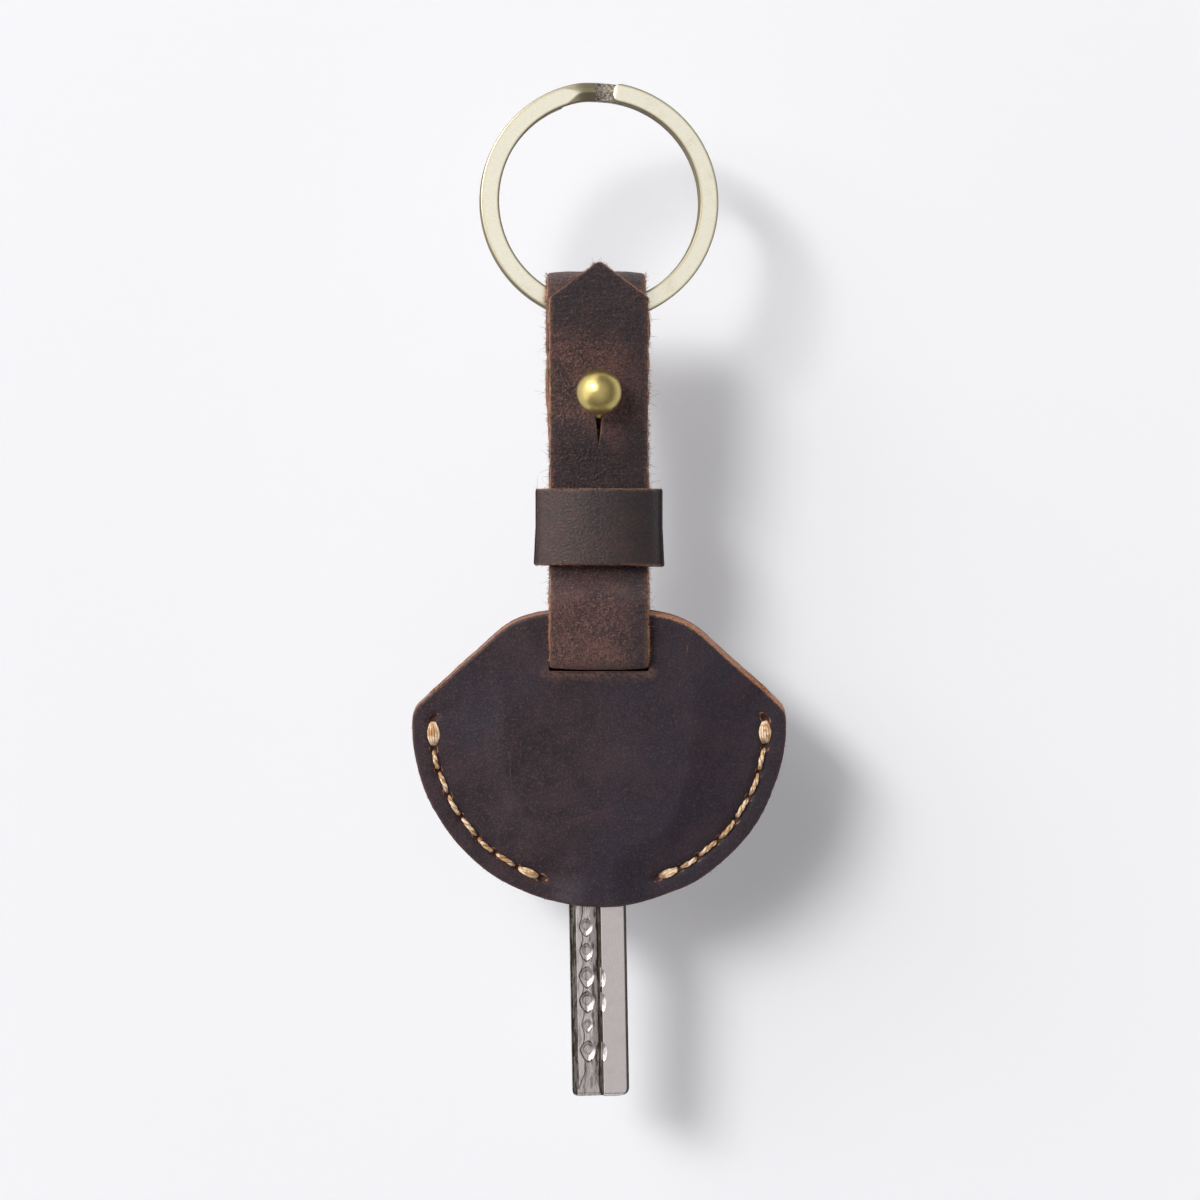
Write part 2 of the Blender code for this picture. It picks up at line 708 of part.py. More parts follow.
def least_gap(path):
    """The least space between the wire and its own other turn, measured on the path's points."""
    half_turn = RING_POINTS_PER_TURN // 2
    distances = []
    for index, place in enumerate(path):
        further = path[index + half_turn:]
        for first, second in zip(further, further[1:]):
            share = intersect_point_line(place, first, second)[1]
            nearest = first.lerp(second, min(max(share, 0.0), 1.0))
            distances.append((place - nearest).length)
    return min(distances) - RING_WIRE_THICKNESS


def add_split_ring(parent, centre_above_axis):
    """The flat wire swept along the coil."""
    guide = bpy.data.curves.new("wire_section", "CURVE")
    guide.dimensions = "2D"
    section = guide.splines.new("POLY")
    wide = RING_WIRE_WIDTH / 2
    thick = RING_WIRE_THICKNESS / 2
    cut = RING_WIRE_CHAMFER
    corners = [
        (wide, thick - cut), (wide - cut, thick), (cut - wide, thick), (-wide, thick - cut),
        (-wide, cut - thick), (cut - wide, -thick), (wide - cut, -thick), (wide, cut - thick),
    ]
    section.points.add(len(corners) - 1)
    section.use_cyclic_u = True
    for point, (x, y) in zip(section.points, corners):
        point.co = (x, y, 0.0, 1.0)
    section_object = bpy.data.objects.new("wire_section", guide)
    section_object.hide_render = True
    section_object.display_type = "WIRE"
    CUTTERS.objects.link(section_object)

    curve = bpy.data.curves.new("split_ring", "CURVE")
    curve.dimensions = "3D"
    curve.twist_mode = "Z_UP"
    curve.bevel_mode = "OBJECT"
    curve.bevel_object = section_object
    curve.use_fill_caps = True
    path = ring_path()
    print("Least gap between the ring's turns in mm:", round(least_gap(path) * 1000, 3))
    spline = curve.splines.new("POLY")
    spline.points.add(len(path) - 1)
    for point, place in zip(spline.points, path):
        point.co = (*place, 1.0)
    mesh = curve_to_mesh(bpy.data.objects.new("split_ring", curve))
    mesh.transform(Matrix.Translation((0.0, centre_above_axis, 0.0)) @ Matrix.Rotation(RING_TILT, 4, "Y"))
    return add_part("split_ring", mesh, PALE_BRASS, parent)


def key_outline():
    """Bow and blade, from the tip up, in the key's own frame."""
    half_blade = BLADE_WIDTH / 2
    half_bow = BOW_WIDTH / 2
    top = BOW_TOP_ABOVE_CROSSING
    bottom = top - BOW_HEIGHT
    tip = -KEY_TIP_BELOW_CROSSING
    round_tip = BLADE_TIP_RADIUS
    neck = BOW_FILLET_RADIUS
    half = arc((half_blade - round_tip, tip + round_tip), round_tip, -math.pi / 2, 0.0, CORNER_STEPS)
    half += arc((half_blade + neck, bottom - neck), neck, math.pi, math.pi / 2, CORNER_STEPS)
    corner = BOW_CORNER_RADIUS
    half += arc((half_bow - corner, bottom + corner), corner, -BOW_SHOULDER_ANGLE, 0.0, CORNER_STEPS)
    half += arc((half_bow - corner, top - corner), corner, 0.0, math.pi / 2, CORNER_STEPS)
    return mirrored(half)


def track_section():
    """The section cut from a face: edge groove, lowered track and inner groove, seen from the tip."""
    groove_start = EDGE_RIB_WIDTH - BLADE_WIDTH / 2
    track_start = groove_start + EDGE_GROOVE_WIDTH
    track_end = track_start + TRACK_WIDTH
    groove_end = track_end + INNER_GROOVE_WIDTH
    surface = KEY_THICKNESS / 2
    return [
        (groove_start, surface * 2),
        (groove_start, surface - GROOVE_DEPTH),
        (track_start, surface - GROOVE_DEPTH),
        (track_start, surface - TRACK_DEPTH),
        (track_end, surface - TRACK_DEPTH),
        (track_end, surface - GROOVE_DEPTH),
        (groove_end, surface - GROOVE_DEPTH),
        (groove_end, surface * 2),
    ]


def cone_cutters(places):
    """A function that adds a flat-bottomed cone at each place of (x, y, share of size, radius)."""
    over = DIMPLE_DEPTH

    def cones(work):
        for x, y, share, radius in places:
            depth = DIMPLE_DEPTH * share
            floor = DIMPLE_FLOOR_RADIUS * share
            mouth = radius * share
            slope = (mouth - floor) / depth
            bmesh.ops.create_cone(
                work,
                cap_ends=True,
                segments=DIMPLE_SIDES,
                radius1=floor,
                radius2=mouth + slope * over,
                depth=depth + over,
                matrix=Matrix.Translation((x, y, KEY_THICKNESS / 2 - depth + (depth + over) / 2)),
            )

    return cones


def add_blade_cuts(key):
    """The same cuts on both faces, the back ones turned half round the blade's length."""
    tip = -KEY_TIP_BELOW_CROSSING
    section = track_section()
    over = BLADE_TIP_RADIUS
    surface = KEY_THICKNESS / 2
    ramp = [
        (tip - over, surface - TIP_RAMP_DEPTH * (1.0 + over / TIP_RAMP_LENGTH)),
        (tip + TIP_RAMP_LENGTH, surface - TRACK_DEPTH / 2),
        (tip + TIP_RAMP_LENGTH, surface * 2),
        (tip - over, surface * 2),
    ]
    track_middle = (section[2][0] + section[4][0]) / 2
    groove_middle = (section[5][0] + section[6][0]) / 2
    heights = [tip + DIMPLE_FIRST_FROM_TIP + DIMPLE_PITCH * index for index in range(DIMPLE_COUNT)]
    dimples = []
    for index, height in enumerate(heights):
        share = SMALL_DIMPLE_SHARE if index in SMALL_DIMPLES else 1.0
        dimples.append((track_middle, height, share, DIMPLE_RADIUS))
    scallops = [(groove_middle, heights[index], 1.0, SCALLOP_RADIUS) for index in SCALLOPED_DIMPLES]
    for face, turn in (("front", 0.0), ("back", math.pi)):
        track = flat_outline(face + "_track", [section], (CUTS_LENGTH + over) / 2)
        middle = tip + (CUTS_LENGTH - over) / 2
        track.transform(Matrix(((1, 0, 0, 0), (0, 0, -1, middle), (0, 1, 0, 0), (0, 0, 0, 1))))
        ramp_width = TRACK_WIDTH + INNER_GROOVE_WIDTH / 2
        slope = flat_outline(face + "_ramp", [ramp], ramp_width / 2)
        slope.transform(Matrix(((0, 0, 1, track_middle), (1, 0, 0, 0), (0, 1, 0, 0), (0, 0, 0, 1))))
        meshes = (
            track,
            slope,
            mesh_from(face + "_dimples", cone_cutters(dimples)),
            mesh_from(face + "_scallops", cone_cutters(scallops)),
        )
        for mesh in meshes:
            cutter = add_cutter(mesh.name, mesh, key)
            cutter.rotation_euler = (0.0, turn, 0.0)
            boolean(key, cutter)


def add_key(parent):
    """A reversible dimple key: a flat bow with a wide eye for the strap, and the cut blade."""
    mesh = flat_outline("key", [key_outline()], KEY_THICKNESS / 2)
    key = add_part("key", mesh, NICKEL, parent)
    key.location = (KEY_SIDE_SHIFT, 0.0, 0.0)
    low = -EYE_BELOW_CROSSING
    eye = rounded_box(EYE_HALF_WIDTH, low, EYE_ABOVE_CROSSING, EYE_CORNER_RADIUS, CORNER_STEPS)
    boolean(key, add_cutter("key_eye", flat_outline("key_eye", [eye], KEY_THICKNESS), key))
    add_blade_cuts(key)
    return key


def stand_on_ground(fob):
    """Centres the bounding box on the origin, with the lowest point on the ground."""
    bpy.context.view_layer.update()
    depsgraph = bpy.context.evaluated_depsgraph_get()
    places = []
    for part in PARTS.objects:
        shape = part.evaluated_get(depsgraph)
        places += [shape.matrix_world @ vertex.co for vertex in shape.data.vertices]
    low = [min(place[axis] for place in places) for axis in range(3)]
    high = [max(place[axis] for place in places) for axis in range(3)]
    fob.location = (-(low[0] + high[0]) / 2, -(low[1] + high[1]) / 2, -low[2])
    bpy.context.view_layer.update()
    size = [top - bottom for bottom, top in zip(low, high)]
    print("Overall size in mm:", [round(length * 1000, 2) for length in size])


def main():
    fob = empty("fob", (0.0, 0.0, 0.0))
    cover = empty("cover", (0.0, 0.0, 0.0), fob, COVER_TILT)
    cutters = [add_slot_cutter(cover), add_slit_cutters(cover)]
    add_panel("front_panel", 1, cover, cutters)
    add_panel("back_panel", -1, cover, cutters)
    add_thread("thread_left", -1, cover)
    add_thread("thread_right", 1, cover)

    add_strap(fob)
    tongue_hinge = empty("tongue_hinge", (0.0, TONGUE_HINGE_HEIGHT, CLOSED_MIDDLE), fob)
    tongue = add_tongue(fob)
    tongue.parent = tongue_hinge
    tongue.matrix_parent_inverse = Matrix.Translation(-tongue_hinge.location)
    keeper_slide = empty("keeper_slide", (0.0, KEEPER_BOTTOM, 0.0), fob)
    add_keeper(keeper_slide)

    stud_seat = empty("stud_seat", (0.0, STUD_HEIGHT, 0.0), fob)
    add_stud(stud_seat)
    add_stud_screw(stud_seat)
    ring_axis = empty("ring_axis", (0.0, LOOP_CENTRE_HEIGHT, 0.0), fob)
    add_split_ring(ring_axis, RING_CENTRE_ABOVE_AXIS)

    key_pivot = empty("key_pivot", (0.0, 0.0, 0.0), cover)
    key_pivot.rotation_euler = (0.0, 0.0, KEY_REST_ANGLE)
    add_key(key_pivot)

    stand_on_ground(fob)
    for axis in (tongue_hinge, keeper_slide, ring_axis, key_pivot):
        place = [round(value * 1000, 3) for value in axis.matrix_world.translation]
        print(axis.name, "in mm:", place, "normal:", tuple(axis.matrix_world.col[2])[:3])


main()
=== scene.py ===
"""The looks of a stitched leather key cover: panels, strap, keeper, ball stud, split ring and key.

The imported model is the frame, in metres, with +Y towards the ring and +Z up. Every dressed piece is
built in the layout frame, whose origin is where the strap crosses the cover, and is then set on the
model at the place that the joints give. Heights along the strap are measured up from that crossing.
"""

import json
import logging
import math
from dataclasses import dataclass, field
from enum import Enum
from typing import Iterable, Sequence

import bmesh
import bpy
import numpy as np
from mathutils import Matrix, Vector, noise
from mathutils.geometry import interpolate_bezier


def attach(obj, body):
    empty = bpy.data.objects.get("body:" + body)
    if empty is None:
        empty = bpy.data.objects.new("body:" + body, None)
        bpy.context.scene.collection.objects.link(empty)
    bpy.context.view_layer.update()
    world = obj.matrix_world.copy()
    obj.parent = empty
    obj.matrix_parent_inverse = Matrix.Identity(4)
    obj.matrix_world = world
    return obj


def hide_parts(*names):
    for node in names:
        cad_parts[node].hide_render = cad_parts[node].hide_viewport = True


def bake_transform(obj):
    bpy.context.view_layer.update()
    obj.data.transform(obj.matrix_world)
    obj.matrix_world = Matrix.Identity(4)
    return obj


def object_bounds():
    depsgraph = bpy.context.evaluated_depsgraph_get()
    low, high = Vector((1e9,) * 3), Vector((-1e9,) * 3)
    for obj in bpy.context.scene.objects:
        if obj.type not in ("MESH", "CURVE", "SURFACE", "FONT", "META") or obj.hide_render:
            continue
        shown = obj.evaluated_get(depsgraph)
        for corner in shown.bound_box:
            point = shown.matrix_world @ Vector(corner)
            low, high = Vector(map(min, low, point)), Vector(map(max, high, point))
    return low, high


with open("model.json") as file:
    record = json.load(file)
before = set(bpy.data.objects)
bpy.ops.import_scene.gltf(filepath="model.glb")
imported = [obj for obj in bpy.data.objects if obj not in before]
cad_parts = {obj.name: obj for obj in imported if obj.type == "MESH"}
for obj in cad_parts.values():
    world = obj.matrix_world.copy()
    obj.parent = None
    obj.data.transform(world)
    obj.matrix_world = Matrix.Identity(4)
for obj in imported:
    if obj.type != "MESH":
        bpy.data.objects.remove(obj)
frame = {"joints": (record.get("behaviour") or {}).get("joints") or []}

CAD_LOW, CAD_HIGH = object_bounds()
JOINTS = {joint["name"]: joint for joint in frame["joints"]}
CROSSING = Vector(JOINTS["key_swing"]["pos_m"])
COVER_NORMAL = Vector(JOINTS["key_swing"]["axis"])
COVER_TILT = math.atan2(-COVER_NORMAL.y, COVER_NORMAL.z)
HINGE_HEIGHT = Vector(JOINTS["tongue_lift"]["pos_m"]).y - CROSSING.y
RING_AXIS_HEIGHT = Vector(JOINTS["ring_swing"]["pos_m"]).y - CROSSING.y
MILLIMETRES = 1000.0
QUARTER = math.pi / 2
ROUNDING_TURNS = np.linspace(0.0, QUARTER, 5)[1:-1]
SEED_SHIFT = np.array([17.3, 5.1, 9.7])
LOG = logging.getLogger("key_cover")

Colour = tuple[float, float, float]
Span = tuple[float, float]
Grid = np.ndarray
Socket = bpy.types.NodeSocket
Material = bpy.types.Material
Thing = bpy.types.Object


class Body(Enum):
    """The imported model's bodies."""

    COVER = "strap_and_cover"
    TONGUE = "tongue"
    KEEPER = "keeper"
    RING = "ring"
    KEY = "key"


class Slot(Enum):
    """The record's material slots."""

    PANELS = "dark_leather"
    STRAP = "strap_leather"
    KEEPER = "keeper_leather"
    THREAD = "waxed_thread"
    BRASS = "satin_brass"
    RING = "pale_brass"
    KEY = "nickel_silver"


class Face(Enum):
    """The front or the back of the cover, as the sign of its side."""

    FRONT = 1
    BACK = -1


class Trait(Enum):
    """The values that a mesh keeps at each point for its material."""

    REST = "rest"
    RAW = "raw"
    # wear: rubbed places on the leather; on the ring, painted shade in the jog and along the face's
    # edges
    WEAR = "wear"
    # stain: darker tones; painted shade in the stitch holes, on the cover's inner face, in the
    # thread's grooves and ends, on the ring wire's sides and under its jog, and along the edges of
    # the key's cuts
    STAIN = "stain"
    # wax: waxed patches on the strap, painted shade on the right-hand sides of the panels, keeper and
    # strap, a rough patch on the ring and smears on the key
    WAX = "wax"


def smoothstep(low: float, high: float, values: Grid) -> Grid:
    """An eased rise from 0 at low to 1 at high.

    Args:
        low: The value at which the rise starts.
        high: The value at which it ends.
        values: The values to ease.

    Returns:
        A number from 0 to 1 for each value.
    """
    share = np.clip((np.asarray(values, float) - low) / (high - low), 0.0, 1.0)
    return share * share * (3.0 - 2.0 * share)


def bell(values: Grid, width: float) -> Grid:
    """1 where the values are 0, falling off evenly to both sides."""
    return np.exp(-((values / width) ** 2))


def unit(vectors: Grid) -> Grid:
    """The vectors at a length of 1."""
    return vectors / np.linalg.norm(vectors, axis=-1, keepdims=True)


def flat_points(outline: Grid, level: float | Grid) -> Grid:
    """The points of a flat outline at the given level or levels."""
    return np.column_stack([outline, np.broadcast_to(level, len(outline))])


def arc(centre: Sequence[float], radius: float, start: float, end: float, count: int) -> Grid:
    """Points on an arc, both ends included.

    Args:
        centre: The arc's centre.
        radius: Its radius.
        start: The angle of its first point, in radians.
        end: The angle of its last point.
        count: The number of steps between them.

    Returns:
        The points, one in each row.
    """
    angles = np.linspace(start, end, count + 1)
    return np.array(centre) + radius * np.column_stack([np.cos(angles), np.sin(angles)])


def corner_arcs(
    wide: float, tall: float, radius: float, count: int, middle: float = 0.0
) -> list[Grid]:
    """The rounded corners of a rectangle, counter-clockwise from the upper right one.

    Args:
        wide: How far the corners' centres lie to either side.
        tall: How far they lie above and below the middle.
        radius: Their radius.
        count: The number of steps round each.
        middle: The height of the rectangle's middle.

    Returns:
        The points of each corner.
    """
    signs = ((1, 1), (-1, 1), (-1, -1), (1, -1))
    return [
        arc((wide * right, middle + tall * up), radius, QUARTER * turn, QUARTER * (turn + 1), count)
        for turn, (right, up) in enumerate(signs)
    ]


def eased(start: Sequence[float], end: Sequence[float], count: int = 24) -> Grid:
    """Points on an S-curve between two points of a centreline, without its start.

    Args:
        start: Where the curve leaves.
        end: Where it arrives.
        count: The number of steps.

    Returns:
        The points, one in each row.
    """
    share = np.linspace(0.0, 1.0, count + 1)[1:]
    along = start[0] + (end[0] - start[0]) * share
    return np.stack([along, start[1] + (end[1] - start[1]) * smoothstep(0.0, 1.0, share)], axis=1)


def lengths_along(line: Grid) -> Grid:
    """How far along a line each of its points is."""
    return np.concatenate([[0.0], np.cumsum(np.linalg.norm(np.diff(line, axis=0), axis=1))])


def at_lengths(line: Grid, lengths: Grid, places: Grid) -> Grid:
    """The points of a line at the given lengths.

    Args:
        line: The points of the line.
        lengths: How far along the line each of them is.
        places: The lengths of the wanted points.

    Returns:
        The wanted points.
    """
    return np.stack([np.interp(places, lengths, column) for column in line.T], axis=1)


def resampled(line: Grid, count: int, closed: bool = False) -> Grid:
    """The same line with points at equal steps.

    Args:
        line: The points of the line.
        count: How many points the new line has.
        closed: Whether the line runs back to its start.

    Returns:
        The new points.
    """
    points = np.vstack([line, line[:1]]) if closed else np.asarray(line)
    lengths = lengths_along(points)
    places = np.linspace(0.0, lengths[-1], count + closed)[:count]
    return at_lengths(points, lengths, places)


def left_of(line: Grid, closed: bool = False) -> Grid:
    """The unit vectors square to a flat line, on its left.

    Args:
        line: The points of the line.
        closed: Whether the line runs back to its start.

    Returns:
        One vector for each point.
    """
    if closed:
        along = np.roll(line, -1, axis=0) - np.roll(line, 1, axis=0)
    else:
        along = np.gradient(line, axis=0)
    along = unit(along)
    return np.stack([-along[:, 1], along[:, 0]], axis=1)


def noise_at(points: Grid, cells_per_mm: float, seed: float = 0.0) -> Grid:
    """Smooth noise at each point.

    Args:
        points: The places, in metres, one in each row.
        cells_per_mm: How fine the noise is.
        seed: A number that picks another pattern.

    Returns:
        A number from about -1 to 1 for each point.
    """
    places = np.asarray(points, float).reshape(-1, points.shape[-1]) * cells_per_mm * MILLIMETRES
    if places.shape[1] == 2:
        places = np.column_stack([places, np.zeros(len(places))])
    values = [noise.noise(Vector(place)) for place in places + seed * SEED_SHIFT]
    return np.array(values).reshape(points.shape[:-1])


@dataclass(frozen=True)
class Ripple:
    """Smooth unevenness, as its cells in a millimetre, its height, its seed and its stretch."""

    cells_per_mm: float
    height: float
    seed: float
    stretch: tuple[float, ...] | float = 1.0

    def at(self, points: Grid, shift: float = 0.0) -> Grid:
        """The unevenness at each point.

        Args:
            points: The places, in metres, one in each row.
            shift: What is added to the seed.

        Returns:
            A height for each point.
        """
        return noise_at(points * self.stretch, self.cells_per_mm, self.seed + shift) * self.height


def tube(spine: Grid, side: Grid, up: Grid, radii: Grid, count: int) -> Grid:
    """The skin of a strand round its middle line.

    Args:
        spine: The middle line's points.
        side: The unit vectors across it, one for all points or one for each.
        up: The unit vectors square to the line and to side.
        radii: The radius at each point, for all sides or for each side.
        count: How many sides the strand has.

    Returns:
        The points in rows along the strand.
    """
    angles = np.arange(count) * math.tau / count
    ring = np.cos(angles)[None, :, None] * side + np.sin(angles)[None, :, None] * up
    return spine[:, None, :] + ring * radii[:, :, None]


class Rows:
    """Rows of points that become one grid, with the values that each row keeps."""

    def __init__(self) -> None:
        """Starts with no rows."""
        self.points: list[Grid] = []
        self.values: dict[Trait, list[Grid]] = {}

    def add(self, points: Grid, **values: float | Grid) -> None:
        """Adds a row.

        Args:
            points: The row's points.
            values: One value for the row or one for each point, under the trait's name.
        """
        self.points.append(points)
        for name, value in values.items():
            self.values.setdefault(Trait(name), []).append(np.broadcast_to(value, len(points)))

    def grid(self) -> tuple[Grid, dict[Trait, Grid]]:
        """All rows as one grid.

        Returns:
            The points in rows and columns, and the traits.
        """
        return np.array(self.points), {trait: np.array(rows) for trait, rows in self.values.items()}


def put_in_scene(name: str, data: bpy.types.ID) -> Thing:
    """Makes an object of a mesh, a lamp or a camera.

    Args:
        name: The object's name.
        data: What it shows.

    Returns:
        The new object, in the scene.
    """
    thing = bpy.data.objects.new(name, data)
    bpy.context.scene.collection.objects.link(thing)
    return thing


class MeshMaker:
    """Gathers grids of points into one mesh, with the values that its material reads."""

    def __init__(self) -> None:
        """Starts with no points."""
        self.points: list[Grid] = []
        self.faces: list[list[int]] = []
        kept = [trait for trait in Trait if trait is not Trait.REST]
        self.traits: dict[Trait, list[Grid]] = {trait: [] for trait in kept}
        self.count = 0

    def add_grid(
        self,
        points: Grid,
        traits: dict[Trait, Grid] | None = None,
        wrap_rows: bool = False,
        caps: bool = False,
    ) -> None:
        """Adds a grid of points as a skin of four-sided faces whose rows are closed rings.

        Args:
            points: The places, in rows and columns.
            traits: The values at each point, 0 where none are given.
            wrap_rows: Whether the last row joins the first.
            caps: Whether the first and the last row are closed with a face.
        """
        rows, columns = points.shape[:2]
        index = np.arange(rows * columns).reshape(rows, columns) + self.count
        if wrap_rows:
            index = np.vstack([index, index[:1]])
        index = np.hstack([index, index[:, :1]])
        quads = np.stack([index[:-1, :-1], index[:-1, 1:], index[1:, 1:], index[1:, :-1]], axis=-1)
        self.faces += quads.reshape(-1, 4).tolist()
        if caps:
            self.faces.append(index[0, -2::-1].tolist())
            self.faces.append(index[-1, :-1].tolist())
        self.points.append(points.reshape(-1, 3))
        for trait, values in self.traits.items():
            given = (traits or {}).get(trait, np.zeros(rows * columns))
            values.append(np.asarray(given, float).ravel())
        self.count += rows * columns

    def piece(self, name: str, *materials: Material) -> Thing:
        """Makes the object.

        Args:
            name: The piece's name.
            materials: The materials of its slots, of which the first is on all faces.

        Returns:
            The new object, in the scene.
        """
        mesh = bpy.data.meshes.new(name)
        mesh.from_pydata(np.vstack(self.points).tolist(), [], self.faces)
        for material in materials:
            mesh.materials.append(material)
        work = bmesh.new()
        work.from_mesh(mesh)
        bmesh.ops.recalc_face_normals(work, faces=work.faces)
        work.to_mesh(mesh)
        work.free()
        for trait, values in self.traits.items():
            attribute = mesh.attributes.new(trait.value, "FLOAT", "POINT")
            attribute.data.foreach_set("value", np.concatenate(values).astype(np.float32))
        mesh.shade_smooth()
        return put_in_scene(name, mesh)


def cut(thing: Thing, cutters: Iterable[Thing]) -> None:
    """Cuts the cutters out of a mesh and removes them.

    Args:
        thing: The mesh that is cut.
        cutters: The closed meshes that are taken out of it.
    """
    cutters = list(cutters)
    for cutter in cutters:
        modifier = thing.modifiers.new(cutter.name, "BOOLEAN")
        modifier.operation = "DIFFERENCE"
        modifier.solver = "EXACT"
        modifier.material_mode = "TRANSFER"
        modifier.object = cutter
    depsgraph = bpy.context.evaluated_depsgraph_get()
    mesh = bpy.data.meshes.new_from_object(thing.evaluated_get(depsgraph))
    thing.modifiers.clear()
    thing.data = mesh
    for cutter in cutters:
        bpy.data.objects.remove(cutter, do_unlink=True)


def prism(name: str, top: Grid, bottom: Grid, material: Material) -> Thing:
    """A closed solid between two outlines with the same number of points.

    Args:
        name: The piece's name.
        top: The upper outline's points in space.
        bottom: The lower outline's points.
        material: The material of its faces.

    Returns:
        The new object.
    """
    maker = MeshMaker()
    maker.add_grid(np.stack([bottom, top]), caps=True)
    return maker.piece(name, material)


def keep_rest_places(thing: Thing) -> None:
    """Keeps each point's place for the materials, so that a bend carries their patterns along.

    Args:
        thing: The finished mesh, in place in the model.
    """
    places = np.zeros(len(thing.data.vertices) * 3, np.float32)
    thing.data.vertices.foreach_get("co", places)
    attribute = thing.data.attributes.new(Trait.REST.value, "FLOAT_VECTOR", "POINT")
    attribute.data.foreach_set("vector", places)


def layout_matrix(tilt: float = 0.0, turn: float = 0.0) -> Matrix:
    """The place of the layout frame in the model.

    Args:
        tilt: The angle about +X, in radians.
        turn: The angle about the tilted +Z.

    Returns:
        The matrix from the layout frame to the model.
    """
    turned = Matrix.Rotation(tilt, 4, "X") @ Matrix.Rotation(turn, 4, "Z")
    return Matrix.Translation(CROSSING) @ turned


@dataclass(frozen=True)
class Bend:
    """Where a piece bends from its body towards another, as two places in the model."""

    towards: Body
    start: Vector
    end: Vector


def settle(
    thing: Thing,
    body: Body,
    slot: Slot,
    *nodes: str,
    matrix: Matrix | None = None,
    bend: Bend | None = None,
) -> None:
    """Sets a finished piece on the model; it is tied to its body unless it bends, when its place is
    baked into its points.

    Args:
        thing: The piece, built in the layout frame.
        body: The body that it rides on.
        slot: The record's material slot; not used.
        nodes: The model's nodes that it stands for.
        matrix: The matrix from the layout frame to the model, where the frame is tilted or turned.
        bend: Where it bends towards another body.
    """
    thing.data.transform(matrix or layout_matrix())
    keep_rest_places(thing)
    if bend:
        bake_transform(thing)
    else:
        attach(thing, body.value)
    if nodes:
        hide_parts(*nodes)
    way = f"bends from {body.value} to {bend.towards.value}" if bend else f"rides on {body.value}"
    LOG.info("%s %s: %d faces", thing.name, way, len(thing.data.polygons))


@dataclass(frozen=True)
class Pattern:
    """Noise over a piece, in cells to a millimetre, and the part of its range that shows."""

    scale: float
    detail: float = 3.0
    stretch: tuple[float, float, float] = (1.0, 1.0, 1.0)
    roughness: float = 0.55
    distortion: float = 0.0
    span: tuple[float, ...] = (0.0, 1.0)


class Nodes:
    """A node tree, with short ways to add the nodes that the finishes and the sky share."""

    def __init__(self, tree: bpy.types.NodeTree, clamped: bool) -> None:
        """Takes a tree over.

        Args:
            tree: The tree that the nodes go into.
            clamped: Whether sums and products are held between 0 and 1.
        """
        self.tree = tree
        self.clamped = clamped

    def node(self, kind: str, **settings: object) -> bpy.types.Node:
        """Adds a node and sets its properties.

        Args:
            kind: The node's type.
            settings: Its properties by name.

        Returns:
            The new node.
        """
        made = self.tree.nodes.new(kind)
        for key, value in settings.items():
            setattr(made, key, value)
        return made

    def link(self, source: Socket, target: Socket) -> None:
        """Joins two sockets."""
        self.tree.links.new(source, target)

    def feed(self, value: object, target: Socket) -> None:
        """Gives a socket the value of another one, a number or a colour.

        Args:
            value: A socket, a number or a colour.
            target: The socket that takes it.
        """
        if isinstance(value, Socket):
            self.link(value, target)
        else:
            target.default_value = (*value, 1.0) if isinstance(value, tuple) else value

    def span(
        self, value: Socket, low: float, high: float, to_low: float = 0.0, to_high: float = 1.0
    ) -> Socket:
        """A value spread from one range to another, eased and held at its ends.

        Args:
            value: The socket that is read.
            low: The value that becomes to_low.
            high: The value that becomes to_high.
            to_low: The first end of the new range.
            to_high: The last end of the new range.

        Returns:
            A socket with the new value.
        """
        made = self.node("ShaderNodeMapRange", interpolation_type="SMOOTHSTEP")
        self.link(value, made.inputs["Value"])
        names = ("From Min", "From Max", "To Min", "To Max")
        for name, number in zip(names, (low, high, to_low, to_high)):
            made.inputs[name].default_value = number
        return made.outputs["Result"]

    def arithmetic(self, operation: str, clamped: bool, first: object, second: object) -> Socket:
        """Arithmetic on two values, each a socket or a number.

        Args:
            operation: The operation's name.
            clamped: Whether the result is held between 0 and 1.
            first: A socket or a number.
            second: A socket or a number.

        Returns:
            A socket with the result.
        """
        made = self.node("ShaderNodeMath", operation=operation, use_clamp=clamped)
        self.feed(first, made.inputs[0])
        self.feed(second, made.inputs[1])
        return made.outputs[0]

    def times(self, first: object, second: object) -> Socket:
        """The product of two values."""
        return self.arithmetic("MULTIPLY", self.clamped, first, second)

    def plus(self, first: object, second: object) -> Socket:
        """The sum of two values."""
        return self.arithmetic("ADD", self.clamped, first, second)

    def most(self, first: object, second: object) -> Socket:
        """The larger of two values."""
        return self.arithmetic("MAXIMUM", self.clamped, first, second)

    def rest_of(self, value: Socket) -> Socket:
        """What a value leaves of 1."""
        return self.arithmetic("SUBTRACT", False, 1.0, value)

    def along(self, vector: Socket, way: Sequence[float]) -> Socket:
        """How far a vector goes along the given way.

        Args:
            vector: The vector's socket.
            way: The way, as three numbers.

        Returns:
            A socket with the distance.
        """
        made = self.node("ShaderNodeVectorMath", operation="DOT_PRODUCT")
        self.link(vector, made.inputs[0])
        made.inputs[1].default_value = way
        return made.outputs["Value"]


